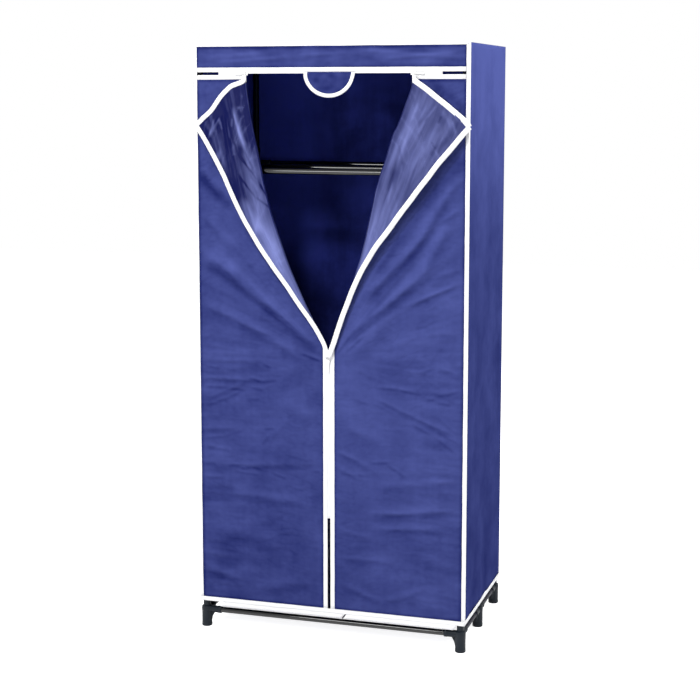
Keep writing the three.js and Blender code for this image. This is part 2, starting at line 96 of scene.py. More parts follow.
# %% [markdown]
# Light and finishes are both written as shader nodes. A few helpers place a node, fill its
# inputs and do sums, so that each finish further down is a handful of lines. Colours are
# written as they look on a screen, and turned into the linear numbers that a shader wants.


# %% Node helpers
def fill(tree, made, inputs):
    """Fills a node's inputs. A socket is linked, and anything else is the input's value."""
    for name, value in inputs.items():
        if isinstance(value, bpy.types.NodeSocket):
            tree.links.new(value, made.inputs[name])
        else:
            made.inputs[name].default_value = value
    return made


def node(tree, kind, settings=None, inputs=None):
    made = tree.nodes.new("ShaderNode" + kind)
    for name, value in (settings or {}).items():
        setattr(made, name, value)
    return fill(tree, made, inputs or {})


def maths(tree, operation, *inputs, clamp=False):
    settings = {"operation": operation, "use_clamp": clamp}
    return node(tree, "Math", settings, dict(enumerate(inputs))).outputs[0]


def spread(tree, value, start, end, low=0.0, high=1.0):
    """Turns the values from start to end into those from low to high."""
    ends = {"Value": value, "From Min": start, "From Max": end, "To Min": low, "To Max": high}
    return node(tree, "MapRange", inputs=ends).outputs[0]


def mixed_value(tree, share, first, second):
    """A Mix node for numbers, whose sockets are its third and fourth."""
    return node(tree, "Mix", {"data_type": "FLOAT"}, {"Factor": share, 2: first, 3: second}).outputs[0]


def mixed_colour(tree, share, first, second):
    """A Mix node for colours, whose sockets are its seventh and eighth."""
    ends = {"Factor": share, 6: paint(first), 7: paint(second)}
    return node(tree, "Mix", {"data_type": "RGBA"}, ends).outputs[2]


def paint(code):
    """A screen colour such as 3f478a as linear red, green, blue, alpha."""
    parts = [int(code[i:i + 2], 16) / 255 for i in (0, 2, 4)]
    return tuple(c / 12.92 if c <= 0.04045 else ((c + 0.055) / 1.055) ** 2.4 for c in parts) + (1,)


# %% [markdown]
# The photograph has plain studio light from all sides on a white ground. The world gives the
# even part of it. A ray that reaches the camera, or a mirrored one, sees the world as pure
# white, and all the others get the lower level that lights the cloth.

# %% World light
scene.view_settings.view_transform = "Standard"
world_level = 0.3
white = (1, 1, 1, 1)


def background_rays(tree):
    """1 for the rays that see the background: straight, mirrored or through glass."""
    path = node(tree, "LightPath").outputs
    first = maths(tree, "MAXIMUM", path["Is Camera Ray"], path["Is Glossy Ray"])
    return maths(tree, "MAXIMUM", first, path["Is Transmission Ray"])


world = bpy.data.worlds.new("studio")
scene.world = world
world.use_nodes = True
sky = world.node_tree
level = spread(sky, background_rays(sky), 0.0, 1.0, low=world_level)
fill(sky, sky.nodes["Background"], {"Color": white, "Strength": level})
print("world level", world_level)

# %% [markdown]
# A key lamp high in front models the folds, a side lamp lights the right side, a low lamp on
# the left draws the bright lines on the tubes, and a rear lamp lights the faces that the
# photograph does not show. All are square area lamps, whose soft edge suits a studio.


# %% Lamps
def add_lamp(name, place, aim, width, watts):
    data = bpy.data.lights.new(name, "AREA")
    data.size = width
    data.energy = watts
    lamp = bpy.data.objects.new(name, data)
    lamp.location = place
    lamp.rotation_mode = "QUATERNION"
    lamp.rotation_quaternion = (Vector(aim) - Vector(place)).to_track_quat("-Z", "Y")
    scene.collection.objects.link(lamp)
    print(name, watts, "W")


add_lamp("key_lamp", place=(-0.4, -3.0, 4.3), aim=(0, 0, 0.9), width=0.7, watts=139)
add_lamp("side_lamp", place=(2.4, 0.3, 3.0), aim=(0.3, 0, 1.2), width=0.9, watts=74)
add_lamp("front_lamp", place=(-0.8, -3.0, 1.8), aim=(0, 0, 1.25), width=0.7, watts=28)
add_lamp("rear_lamp", place=(-1.9, 2.8, 3.0), aim=(-0.2, 0.1, 1.0), width=0.9, watts=90)

# %% [markdown]
# The ground is one large square that takes a faint shadow and looks white. It is seen in the
# picture and is no part of the wardrobe.

# %% Ground
ground_size = 9
ground_bm = bmesh.new()
bmesh.ops.create_grid(ground_bm, x_segments=1, y_segments=1, size=ground_size)
ground_mesh = bpy.data.meshes.new("ground")
ground_bm.to_mesh(ground_mesh)
ground_bm.free()
ground = bpy.data.objects.new("ground", ground_mesh)
scene.collection.objects.link(ground)
print("ground", ground_size, "m")

# %% [markdown]
# A finish is one material with a Principled shader. An effect that several finishes share,
# such as the fine dimples of bonded cloth or a row of stitches, is a node group with named
# inputs, built once and placed in each of them. The ground's finish comes first, as the
# plainest: a matt white that glows for the rays that reach the camera.


# %% Finish and group helpers
def new_finish(name, colour, roughness, shine=0.5):
    finish = bpy.data.materials.new(name)
    finish.use_nodes = True
    tree = finish.node_tree
    shader = tree.nodes["Principled BSDF"]
    fill(tree, shader, {"Base Color": paint(colour), "Roughness": roughness,
                        "Specular IOR Level": shine})
    print("finish", name)
    return finish, tree, shader


def new_group(name, inputs, outputs):
    """A shader node group with named float or vector sockets."""
    group = bpy.data.node_groups.new(name, "ShaderNodeTree")
    for title, kind, value in inputs:
        socket = group.interface.new_socket(title, in_out="INPUT", socket_type="NodeSocket" + kind)
        if value is not None:
            socket.default_value = value
    for title, kind in outputs:
        group.interface.new_socket(title, in_out="OUTPUT", socket_type="NodeSocket" + kind)
    print("group", name)
    return group, group.nodes.new("NodeGroupInput").outputs, group.nodes.new("NodeGroupOutput")


def use_group(tree, group, inputs):
    return node(tree, "Group", {"node_tree": group}, inputs).outputs


def bump(tree, shader, height, strength, distance):
    made = node(tree, "Bump", inputs={"Height": height, "Strength": strength, "Distance": distance})
    fill(tree, shader, {"Normal": made.outputs["Normal"]})


# %% Ground finish
ground_glow = 0.9
ground_finish, tree, shader = new_finish("ground_white", "f6f6f6", 0.9, shine=0)
glow = maths(tree, "MULTIPLY", background_rays(tree), ground_glow)
fill(tree, shader, {"Emission Color": white, "Emission Strength": glow})
ground_mesh.materials.append(ground_finish)

# %% [markdown]
# Non-woven cloth is a mat of fibres pressed together by a hot roller with small raised points.
# Close up it shows a grid of dimples with loose fibres between them, and at arm's length only
# soft creases and a slight cloudiness. Both patterns read the piece's own flat coordinates in
# metres, so they follow the cloth wherever it hangs.

# %% Bonded cloth group
fibre_stretch = (900, 2600, 1)
fibre_turn = (0, 0, 0.5)
fibre_share = 0.45
streak_stretch = (60, 5, 1)
flat_only = {"noise_dimensions": "2D"}

bonded, given, result = new_group(
    "bonded_cloth",
    [("Flat", "Vector", None), ("Points per metre", "Float", 420.0), ("Streak", "Float", 1.0)],
    [("Height", "Float"), ("Cloud", "Float"), ("Streaks", "Float")],
)
points = node(bonded, "TexVoronoi", {"voronoi_dimensions": "2D"},
              {"Vector": given["Flat"], "Scale": given["Points per metre"], "Randomness": 0.12})
dimple = spread(bonded, points.outputs["Distance"], 0.18, 0.42)
fibre_place = node(bonded, "Mapping",
                   inputs={"Vector": given["Flat"], "Scale": fibre_stretch, "Rotation": fibre_turn})
fibres = node(bonded, "TexNoise", flat_only,
              {"Vector": fibre_place.outputs[0], "Scale": 1.0, "Detail": 3.0, "Roughness": 0.6})
cloud = node(bonded, "TexNoise", flat_only,
             {"Vector": given["Flat"], "Scale": 9.0, "Detail": 4.0, "Roughness": 0.62})
streak_place = node(bonded, "Mapping", inputs={"Vector": given["Flat"], "Scale": streak_stretch})
streaks = node(bonded, "TexNoise", flat_only,
               {"Vector": streak_place.outputs[0], "Scale": given["Streak"], "Detail": 3.0,
                "Roughness": 0.55})
fill(bonded, result, {
    "Height": mixed_value(bonded, fibre_share, dimple, fibres.outputs["Fac"]),
    "Cloud": cloud.outputs["Fac"],
    "Streaks": streaks.outputs["Fac"],
})

# %% [markdown]
# One function makes every navy finish. The mesh carries a tone from 0 to 1, set point by point
# when the sheet is bent, into which light and shade are painted: paler on the crest of a crease,
# darker in its valley, along seams and under the flaps, besides some random variation.
# The tone picks a colour between a dark and a pale one, and the cloudiness moves it a little.
# The inside of the cloth is the shinier face, and the lining of the panels is a darker copy of
# the same cloth, painted as if in the shade of the wardrobe, with its own tone of painted light.

# %% Navy cloth, outside and inside
mottle_depth = 0.14


def cloth_finish(name, dark, pale, roughness, shine, streak_share, tone_name="tone_and_painted_shade"):
    finish, tree, shader = new_finish(name, pale, roughness, shine)
    flat = node(tree, "UVMap", {"uv_map": "flat"})
    pattern = use_group(tree, bonded, {"Flat": flat.outputs[0]})
    clouded = mixed_value(tree, streak_share, pattern["Cloud"], pattern["Streaks"])
    mottle = spread(tree, clouded, 0.3, 0.7, -mottle_depth, mottle_depth)
    # Painted light and shade: the tone attribute holds the shading of creases and seams.
    painted = node(tree, "Attribute", {"attribute_name": tone_name})
    tone = maths(tree, "ADD", mottle, painted.outputs["Fac"], clamp=True)
    fill(tree, shader, {"Base Color": mixed_colour(tree, tone, dark, pale)})
    bump(tree, shader, pattern["Height"], 0.35, 0.0004)
    return finish


navy_cloth = cloth_finish("navy_cloth", "1e255b", "4c5594", 0.6, shine=0.0, streak_share=0.15)
navy_inside = cloth_finish("navy_inside", "0b1146", "777fbb", 0.4, shine=0.06, streak_share=0.6)
navy_turned = cloth_finish("navy_turned", "353d7b", "3d4683", 0.6, shine=0.0, streak_share=0.15)
navy_lining_painted_light = cloth_finish("navy_lining_painted_light", "191f58", "4350c0", 0.7, shine=0.0, streak_share=0.2,
                           tone_name="lining_painted_light")

# %% [markdown]
# The bindings are narrow woven tape, folded over the raw edge of the cloth and sewn down with
# one row of stitches near the inner edge. The tape's flat coordinates run along it in metres
# and across it from 0 to 1, so the weave and the stitches turn with it round every corner.

# %% Stitch and weave group
stitch_share = 0.72
row_half, row_edge = 0.02, 0.06
cross_threads = 60.0
weave_depth, weave_level = 0.15, 0.3
stitch_depth = -0.8

woven, given, result = new_group(
    "woven_tape",
    [("Flat", "Vector", None), ("Stitches per metre", "Float", 360.0), ("Row", "Float", 0.14),
     ("Threads per metre", "Float", 1500.0)],
    [("Height", "Float"), ("Thread shade", "Float")],
)
parts = node(woven, "SeparateXYZ", inputs={0: given["Flat"]}).outputs
beat = maths(woven, "FRACT", maths(woven, "MULTIPLY", parts["X"], given["Stitches per metre"]))
on = maths(woven, "LESS_THAN", beat, stitch_share)
away = maths(woven, "ABSOLUTE", maths(woven, "SUBTRACT", parts["Y"], given["Row"]))
stitch = maths(woven, "MULTIPLY", on, spread(woven, away, row_half, row_edge, 1.0, 0.0))
thread = maths(woven, "SINE", maths(woven, "MULTIPLY", parts["X"], given["Threads per metre"]))
cross = maths(woven, "SINE", maths(woven, "MULTIPLY", parts["Y"], cross_threads))
weave = maths(woven, "MULTIPLY_ADD", maths(woven, "MULTIPLY", thread, cross), weave_depth, weave_level)
height = maths(woven, "MULTIPLY_ADD", stitch, stitch_depth, weave)
fill(woven, result, {"Height": height, "Thread shade": stitch})


# %% White bindings and zip tapes
def tape_finish(name, colour, shadow, stitches, threads):
    finish, tree, shader = new_finish(name, colour, 0.7)
    flat = node(tree, "UVMap", {"uv_map": "flat"})
    pattern = use_group(tree, woven, {"Flat": flat.outputs[0], "Stitches per metre": stitches,
                                      "Threads per metre": threads})
    # Painted shade: the stitch row is a darker grey; a zip tape, with no stitches, gets one unbroken
    # grey line.
    tone = mixed_colour(tree, pattern["Thread shade"], colour, shadow)
    fill(tree, shader, {"Base Color": tone, "Sheen Weight": 0.1})
    bump(tree, shader, pattern["Height"], 0.4, 0.0003)
    return finish


white_binding = tape_finish("white_binding", "f5f5f6", "d9dbe3", stitches=330.0, threads=5200.0)
zip_tape = tape_finish("zip_tape", "f3f3f4", "e2e4ea", stitches=0.0, threads=4200.0)

# %% [markdown]
# The tubes are painted black and glossy, with a slight orange peel. The upright ones and those
# along the sides take a duller, bluer copy of that lacquer, with the blue shade of the dark
# inside painted into its colour, because in the photograph they can hardly be told from the dark
# cloth inside. The connectors are a dark grey moulded plastic with a fine spark grain, so they
# stay dull beside the tubes, and the sliders are cast and enamelled.

# %% Moulded and lacquered finishes
wear_scale = 22.0

grain, given, result = new_group(
    "fine_grain",
    [("Scale", "Float", 900.0), ("Detail", "Float", 3.0)],
    [("Height", "Float"), ("Wear", "Float")],
)
place = node(grain, "TexCoord").outputs["Object"]
fine = node(grain, "TexNoise",
            inputs={"Vector": place, "Scale": given["Scale"], "Detail": given["Detail"]})
broad = node(grain, "TexNoise", inputs={"Vector": place, "Scale": wear_scale, "Detail": 5.0})
fill(grain, result, {"Height": fine.outputs["Fac"], "Wear": broad.outputs["Fac"]})


def hard_finish(name, dark, pale, rough, grain_scale, grain_depth, shine=0.5, coat=0.0):
    finish, tree, shader = new_finish(name, dark, rough[0], shine)
    pattern = use_group(tree, grain, {"Scale": grain_scale})
    tone = mixed_colour(tree, pattern["Wear"], dark, pale)
    dull = spread(tree, pattern["Wear"], 0.0, 1.0, *rough)
    fill(tree, shader, {"Base Color": tone, "Roughness": dull,
                        "Coat Weight": coat, "Coat Roughness": 0.08})
    bump(tree, shader, pattern["Height"], 0.25, grain_depth)
    return finish


tube_lacquer = hard_finish("tube_lacquer", "030304", "070708", rough=(0.045, 0.08),
                           grain_scale=260.0, grain_depth=0.00002)
connector_plastic = hard_finish("connector_plastic", "0b1118", "161e27", rough=(0.42, 0.6),
                                grain_scale=1400.0, grain_depth=0.0002, shine=0.2)
# A shaded copy of the tube lacquer: duller, with painted blue shade in its colour.
post_lacquer_painted_shade = hard_finish("post_lacquer_painted_shade", "04061a", "060920", rough=(0.4, 0.5),
                           grain_scale=260.0, grain_depth=0.00002, shine=0.08)
zip_metal = hard_finish("zip_metal", "efefed", "f7f7f5", rough=(0.28, 0.4),
                        grain_scale=800.0, grain_depth=0.0001, coat=0.3)

# %% [markdown]
# Every piece is made in a bmesh in the cover's millimetres and then put into the frame, with
# its object left at the origin. It is parented to the empty of the body it rides and given its
# finish, and the imported solids it replaces are hidden.


# %% Piece helpers
def add_piece(bm, name, finish, body="root", nodes=(), sharp=None):
    """Makes the finished object, parents it to its body's empty and hides the solids it replaces."""
    bm.transform(cover_to_frame)
    mesh = bpy.data.meshes.new(name)
    bm.to_mesh(mesh)
    bm.free()
    for polygon in mesh.polygons:
        polygon.use_smooth = True
    if sharp is not None:
        mesh.set_sharp_from_angle(angle=radians(sharp))
    piece = bpy.data.objects.new(name, mesh)
    scene.collection.objects.link(piece)
    mesh.materials.append(finish)
    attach(piece, body)
    if nodes:
        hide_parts(*nodes)
    print(name, len(mesh.polygons), "faces on", body)
    return piece


def merge(bm, part):
    """Adds one bmesh to another."""
    carrier = bpy.data.meshes.new("carrier")
    part.to_mesh(carrier)
    part.free()
    bm.from_mesh(carrier)
    bpy.data.meshes.remove(carrier)
    return bm


# %% [markdown]
# Hard parts come from three operators. A round part is a profile spun about an axis, a thin
# moulding is an outline that is extruded, and a casting is a block. Bevel then takes the sharp
# edge off the last two, since no moulding has one.


# %% Shapes of hard parts
def soften(part, edges, rounding):
    bmesh.ops.bevel(part, geom=edges, offset=rounding, offset_type="OFFSET", segments=2,
                    profile=0.5, affect="EDGES", material=-1)


def turned(bm, profile, base, direction, steps=28):
    """A profile of (radius, along) spun round and stood at base, along a direction."""
    part = bmesh.new()
    rim = [part.verts.new((radius, 0, along)) for radius, along in profile]
    edges = [part.edges.new(pair) for pair in zip(rim, rim[1:])]
    bmesh.ops.spin(part, geom=rim + edges, axis=(0, 0, 1), cent=(0, 0, 0), angle=2 * pi,
                   steps=steps, use_merge=True)
    bmesh.ops.remove_doubles(part, verts=part.verts, dist=1e-3)
    bmesh.ops.recalc_face_normals(part, faces=part.faces)
    turn = Vector(direction).to_track_quat("Z", "Y").to_matrix().to_4x4()
    part.transform(Matrix.Translation(base) @ turn)
    merge(bm, part)


def plate(outline, front, wall):
    """An outline in X and Z, extruded along Y from its front."""
    part = bmesh.new()
    face = part.faces.new([part.verts.new((x, front, z)) for x, z in outline])
    grown = bmesh.ops.extrude_face_region(part, geom=[face])
    moved = [item for item in grown["geom"] if isinstance(item, bmesh.types.BMVert)]
    bmesh.ops.translate(part, verts=moved, vec=(0, wall, 0))
    bmesh.ops.recalc_face_normals(part, faces=part.faces)
    return part


def rounded_block(bm, low, high, rounding):
    part = bmesh.new()
    middle = (Vector(low) + Vector(high)) / 2
    size = Vector(high) - Vector(low)
    bmesh.ops.create_cube(part, size=1, matrix=Matrix.Translation(middle) @ Matrix.Diagonal((*size, 1)))
    soften(part, part.edges[:], rounding)
    merge(bm, part)


# %% [markdown]
# The frame is steel tube of 16 mm in connectors with 21 mm sockets. The real tubes end inside
# the sockets, so a capped round bar between two sockets looks the same and is lighter. The
# hanging rail is two tubes pressed together, which shows as a low sleeve.

# %% Tubes
post_x, post_y = 362, 212
base_z, rail_z, top_z = 48, 1268, 1587.6
tube_radius, tube_edge = 8, 0.6
tube_inset = 12
tube_steps = 32
sleeve_start, sleeve_length, sleeve_radius = 264, 34, tube_radius + 0.5


def tube_profile(length, radius):
    return [(0, 0), (radius - tube_edge, 0), (radius, tube_edge), (radius, length - tube_edge),
            (radius - tube_edge, length), (0, length)]


def add_tube(name, start, end, finish=tube_lacquer, sleeve=False):
    bm = bmesh.new()
    start, end = Vector(start), Vector(end)
    run = (end - start).normalized()
    length = (end - start).length - 2 * tube_inset
    turned(bm, tube_profile(length, tube_radius), start + run * tube_inset, run, tube_steps)
    if sleeve:
        sleeve_profile = tube_profile(sleeve_length, sleeve_radius)
        turned(bm, sleeve_profile, start + run * sleeve_start, run, tube_steps)
    add_piece(bm, name + "_tube", finish, nodes=[name], sharp=40)


levels = {"base_rail": base_z, "rail_bar": rail_z, "top_rail": top_z}
side_x = {"left": -post_x, "right": post_x}
end_y = {"front": -post_y, "back": post_y}
for side, x in side_x.items():
    for end, y in end_y.items():
        add_tube(f"upright_{end}_{side}", (x, y, base_z), (x, y, top_z), post_lacquer_painted_shade)
    for kind, z in levels.items():
        add_tube(f"{kind}_{side}", (x, -post_y, z), (x, post_y, z), post_lacquer_painted_shade)
for end, y in end_y.items():
    for kind, z in levels.items():
        add_tube(f"{kind}_{end}", (-post_x, y, z), (post_x, y, z))
add_tube("base_rail_middle", (-post_x, 0, base_z), (post_x, 0, base_z))
add_tube("hanging_rail", (-post_x, 0, rail_z), (post_x, 0, rail_z), sleeve=True)

# %% [markdown]
# A connector is one moulding: a round hub, a socket for each tube with a thicker collar at its
# mouth, and at the bottom a foot with thin webs up to the sockets. Each of these is a spun
# profile or a bevelled web, and together they read as one moulding.

# %% Profiles of a connector
socket_reach, socket_radius, barrel_radius = 44, 10.5, 9.8
collar_length, mouth_radius, mouth_depth = 9, 8.3, 4
foot_height = 58
web_wall, web_rounding = 5, 0.8
socket_profile = [
    (0, 0), (barrel_radius, 0), (barrel_radius, socket_reach - collar_length),
    (socket_radius, socket_reach - collar_length + 1), (socket_radius, socket_reach - 1),
    (socket_radius - 0.6, socket_reach), (mouth_radius, socket_reach),
    (mouth_radius, socket_reach - mouth_depth), (0, socket_reach - mouth_depth),
]
foot_profile = [
    (0, 0), (13.4, 0), (14.4, 1), (14.5, 3), (14.5, 8), (14.1, 9), (14.1, 43), (14.5, 44.5),
    (14.5, 53), (13.6, 56.5), (11, foot_height), (0, foot_height),
]
web_outline = [(0, 14), (14, 14), (17, 27), (24, base_z - 9), (30, base_z - 4), (0, base_z - 4)]
print("socket", socket_reach, "mm, foot", foot_height, "mm")

# %% [markdown]
# One function makes them all. It is told where the hub stands and which ways its sockets run,
# and a connector that stands on the ground gets the foot and its webs as well.

# %% Connectors
up, down = (0, 0, 1), (0, 0, -1)
to_back, to_front = (0, 1, 0), (0, -1, 0)


def web(bm, centre, run):
    """The thin plate between the foot and one socket."""
    part = plate(web_outline, -web_wall / 2, web_wall)
    soften(part, part.edges[:], web_rounding)
    turn = Vector(run).to_track_quat("X", "Z").to_matrix().to_4x4()
    part.transform(Matrix.Translation((centre[0], centre[1], 0)) @ turn)
    merge(bm, part)


def add_connector(name, centre, runs, standing=False):
    bm = bmesh.new()
    bmesh.ops.create_uvsphere(bm, u_segments=28, v_segments=16, radius=socket_radius,
                              matrix=Matrix.Translation(centre))
    for run in runs:
        turned(bm, socket_profile, centre, run)
    if standing:
        turned(bm, foot_profile, (centre[0], centre[1], 0), up, 36)
        for run in runs:
            if not run[2]:
                web(bm, centre, run)
    add_piece(bm, name + "_moulding", connector_plastic, nodes=[name], sharp=38)


for side, x in side_x.items():
    inward = (-1 if x > 0 else 1, 0, 0)
    for end, y in end_y.items():
        along = to_front if y > 0 else to_back
        corner = f"{end}_{side}"
        add_connector(f"base_corner_{corner}", (x, y, base_z), [inward, along, up], standing=True)
        add_connector(f"rail_corner_{corner}", (x, y, rail_z), [inward, along, up, down])
        add_connector(f"top_corner_{corner}", (x, y, top_z), [inward, along, down])
    add_connector(f"base_tee_{side}", (x, 0, base_z), [inward, to_back, to_front], standing=True)
    add_connector(f"rail_tee_{side}", (x, 0, rail_z), [inward, to_back, to_front])

# %% [markdown]
# Cloth that hangs from a frame is never flat. Long soft ridges run where it is pulled, and
# between them it is slightly uneven. Both are worked out as a lift off the flat panel: a ridge
# is a bell curve about a line that fades at both ends, and the unevenness is smooth noise.


# %% Folds
ridge_reach = 3
ridge_low_end = 0.15


def ease(value, low, high):
    """0 below low, 1 above high, smooth between."""
    share = min(1.0, max(0.0, (value - low) / (high - low)))
    return share * share * (3 - 2 * share)


def ridge(x, z, start, end, width, lift):
    """A bell-shaped ridge about the line from start to end, lower towards both ends."""
    (ax, az), (bx, bz) = start, end
    reach = 2 * ridge_reach * width
    if abs(2 * x - ax - bx) > abs(bx - ax) + reach or abs(2 * z - az - bz) > abs(bz - az) + reach:
        return 0.0
    length2 = (bx - ax) ** 2 + (bz - az) ** 2
    share = ((x - ax) * (bx - ax) + (z - az) * (bz - az)) / length2
    held = min(1.0, max(0.0, share))
    away = hypot(x - ax - held * (bx - ax), z - az - held * (bz - az))
    fade = ease(held, -0.02, 0.25) * ease(1 - held, -0.02, 0.25)
    return lift * exp(-((away / width) ** 2)) * (ridge_low_end + (1 - ridge_low_end) * fade)


def seam_shade(distance, start=2, end=9):
    """The narrow shade of a sewn edge, at a distance from it."""
    return 1 - ease(distance, start, end)


# %% [markdown]
# Noise makes the cloth uneven, and its thin zero lines make fine wrinkles. A line traced from
# the photograph, such as the bowed edge of a fold, is a short table read with smooth bends.


# %% Noise and tables
def uneven(x, z, size, seed, stretch=1.0):
    """Smooth noise from about -1 to 1, with hills of a size, stretched along z."""
    return noise.noise(Vector((x / size, z / (size * stretch), seed)))


def crinkle(x, z, size, seed, stretch=1.0):
    """Thin wandering lines, 1 on a line and near 0 between them, in scattered patches."""
    line = (1 - min(1, 2.2 * abs(uneven(x, z, size, seed, stretch)))) ** 4
    return line * ease(uneven(x, z, 2.2 * size, seed + 20, 1.0), -0.1, 0.35)


def table_value(table, at):
    """A value read from a table of (place, value) rows, with smooth bends between them."""
    if at <= table[0][0]:
        return table[0][1]
    if at >= table[-1][0]:
        return table[-1][1]
    i = next(k for k in range(1, len(table)) if at <= table[k][0])
    (a, va), (b, vb) = table[i - 1], table[i]
    before = table[i - 2] if i > 1 else (2 * a - b, 2 * va - vb)
    after = table[i + 1] if i + 1 < len(table) else (2 * b - a, 2 * vb - va)
    slope_a = (vb - before[1]) / (b - before[0])
    slope_b = (after[1] - va) / (after[0] - a)
    t, span = (at - a) / (b - a), b - a
    return (va * (1 + 2 * t) * (1 - t) ** 2 + vb * t * t * (3 - 2 * t)
            + slope_a * span * t * (1 - t) ** 2 + slope_b * span * t * t * (t - 1))


# %% [markdown]
# A sheet starts as a grid, and place(u, v) says where each of its points goes, with u and v
# from 0 to 1 along its two ways. The same function gives the point's flat coordinates for the
# weave and its tone, into which light and shade are painted. The grid's faces are turned to the
# side that shows, and a Solidify modifier gives it a wall, whose back face may take another finish.

# %% Sheet helpers
plain_tone = 0.55
cloth_wall = 0.7
tape_wall = 0.5


def skin(cells, place, out, bm=None):
    """A grid bent by place(u, v): a point, flat coordinates in metres, and tones with painted light."""
    part = bmesh.new()
    flat_layer = part.loops.layers.uv.new("flat")
    tone_and_shade_layer = part.verts.layers.float.new("tone_and_painted_shade")
    lining_light_layer = part.verts.layers.float.new("lining_painted_light")
    bmesh.ops.create_grid(part, x_segments=cells[0], y_segments=cells[1], size=0.5)
    flat = {}
    for vert in part.verts:
        point, flat[vert], *tones = place(vert.co.x + 0.5, vert.co.y + 0.5)
        tones = tones or [plain_tone]
        vert.co = point
        vert[tone_and_shade_layer], vert[lining_light_layer] = tones[0], tones[-1]
    for face in part.faces:
        for loop in face.loops:
            loop[flat_layer].uv = flat[loop.vert]
    part.normal_update()
    facing = sum((face.normal * face.calc_area() for face in part.faces), Vector())
    if facing.dot(Vector(out)) < 0:
        bmesh.ops.reverse_faces(part, faces=part.faces)
    return part if bm is None else merge(bm, part)


def thicken(piece, thickness):
    """Gives a sheet its wall, behind the face that shows."""
    wall = piece.modifiers.new("wall", "SOLIDIFY")
    wall.thickness = thickness * MM
    wall.offset = -1.0
    return wall


def add_cloth(name, bm, nodes=(), body="root", finish=navy_cloth, back=navy_lining_painted_light):
    """A sheet whose back face takes another finish, for a panel the lining of painted light and shade.
    """
    cloth = add_piece(bm, name, finish, body, nodes)
    cloth.data.materials.append(back)
    thicken(cloth, cloth_wall).material_offset = 1
    return cloth


def add_tape(name, bm, nodes=(), body="root", finish=white_binding,
             wall=tape_wall):
    tape = add_piece(bm, name, finish, body, nodes)
    thicken(tape, wall)
    return tape


# %% [markdown]
# The roof, back, sides and floor are plain rectangles of cloth. The roof sags a little between
# its rails, and the sides show faint upright ripples where the cloth is drawn down over them.
# Light is painted onto the sides, paler towards the top and darker at the foot and along the
# front seam. The back laps behind the hem, and light is painted onto its inner face, paler at
# the upper left, under the roof and under the rail, as the inside of the wardrobe is in the
# photograph. The floor takes the lining finish on both faces, painted dark as shade.

# %% Shapes of the plain panels
half_width = 375
cover_top, hem_top = 1600, 87
side_front = -216
side_sign = {"left": -1, "right": 1}
back_low = 80
floor_half, floor_front, floor_length = 316, -211, 457
floor_fold, floor_level = 221, 57.9
# Painted shade: the floor lies inside, so both its tones are set near the dark end.
floor_painted_shade = 0.1


def roof_place(u, v):
    x = -half_width + 2 * half_width * u
    y = side_front + (half_depth - side_front) * v
    inner = ease(min(u, 1 - u), 0.0, 0.12) * ease(min(v, 1 - v), 0.0, 0.14)
    sag = inner * (2.2 + 1.2 * uneven(x, y, 120, 3.1))
    return Vector((x, y, cover_top - sag)), (x * MM, y * MM)


def back_place(u, v):
    x = -half_width + 2 * half_width * u
    z = back_low + (cover_top - back_low) * v
    inner = ease(min(u, 1 - u), 0.0, 0.08) * ease(z, hem_top + 2, hem_top + 40)
    lift = inner * (1.6 * uneven(x, z, 90, 7.7, 5) + 1.2 * uneven(x, z, 60, 1.7, 2))
    # Painted light: the outer tone is a little paler where the cloth bulges, and the inner face's tone
    # is paler at the upper left, under the roof and under the rail.
    tone = 0.55 + 0.05 * lift
    left = ease(-x, 105, 225) * ease(z, 880, 1080)
    under_roof = ease(z, 1430, 1540)
    under_rail = ease(z, 1110, 1160) - ease(z, 1210, 1270)
    inside = 0.08 + 0.92 * left + (1 - left) * 0.5 * under_roof
    inside += (1 - left) * 0.3 * under_rail
    return Vector((x, half_depth + lift, z)), (x * MM, z * MM), tone, inside


def side_place(sign):
    def place(u, v):
        y = side_front + (half_depth - side_front) * u
        z = hem_top + (cover_top - hem_top) * v
        inner = ease(min(u, 1 - u), 0.0, 0.1) * ease(1 - v, 0.0, 0.05)
        ripple = uneven(y, z, 34, 4.4 + sign, 9)
        lift = inner * (0.7 * ripple + 2.2 * uneven(y, z, 120, 2.2 - sign, 2.4))
        # Painted light: paler towards the top and darker at the foot, with painted shade by the front
        # seam.
        tone = 0.42 + 0.58 * ease(z, 1000, 1560) - 0.08 * (1 - ease(z, 250, 900)) + 0.05 * lift
        tone -= 0.25 * seam_shade(y - side_front, 4, 16)
        return Vector((sign * (half_width + lift), y, z)), (y * MM, z * MM), tone
    return place


def floor_place(u, v):
    """Laid over the rails, with its back edge turned up behind the hem."""
    x, along = -floor_half + 2 * floor_half * u, floor_front + floor_length * v
    y, z = min(along, floor_fold), floor_level + max(0, along - floor_fold)
    between = abs(sin(pi * (y + post_y) / post_y)) * ease(min(u, 1 - u), 0.0, 0.1)
    return Vector((x, y, z - 1.4 * between)), (x * MM, along * MM), floor_painted_shade


# %% [markdown]

# %% Plain panels
roof_cloth = add_cloth("roof_cloth", skin((60, 36), roof_place, (0, 0, 1)), ["roof_panel"])
back_cloth = add_cloth("back_cloth", skin((48, 96), back_place, to_back), ["back_panel"])
for side, sign in side_sign.items():
    side_bm = skin((48, 110), side_place(sign), (sign, 0, 0))
    add_cloth(f"{side}_side_cloth", side_bm, [f"side_panel_{side}"])
floor_cloth = add_cloth("floor_cloth", skin((40, 66), floor_place, (0, -0.2, 1)), ["floor_sheet"],
                        finish=navy_lining_painted_light)

# %% [markdown]
# A binding or a zip tape is a ribbon: a line that it follows, a direction across it, and a
# slight crown. Strips that turn a corner, such as the piping, are bent grids too, with the
# section as the short way and the length as the long way.

# %% Ribbon helper
binding_width = 12


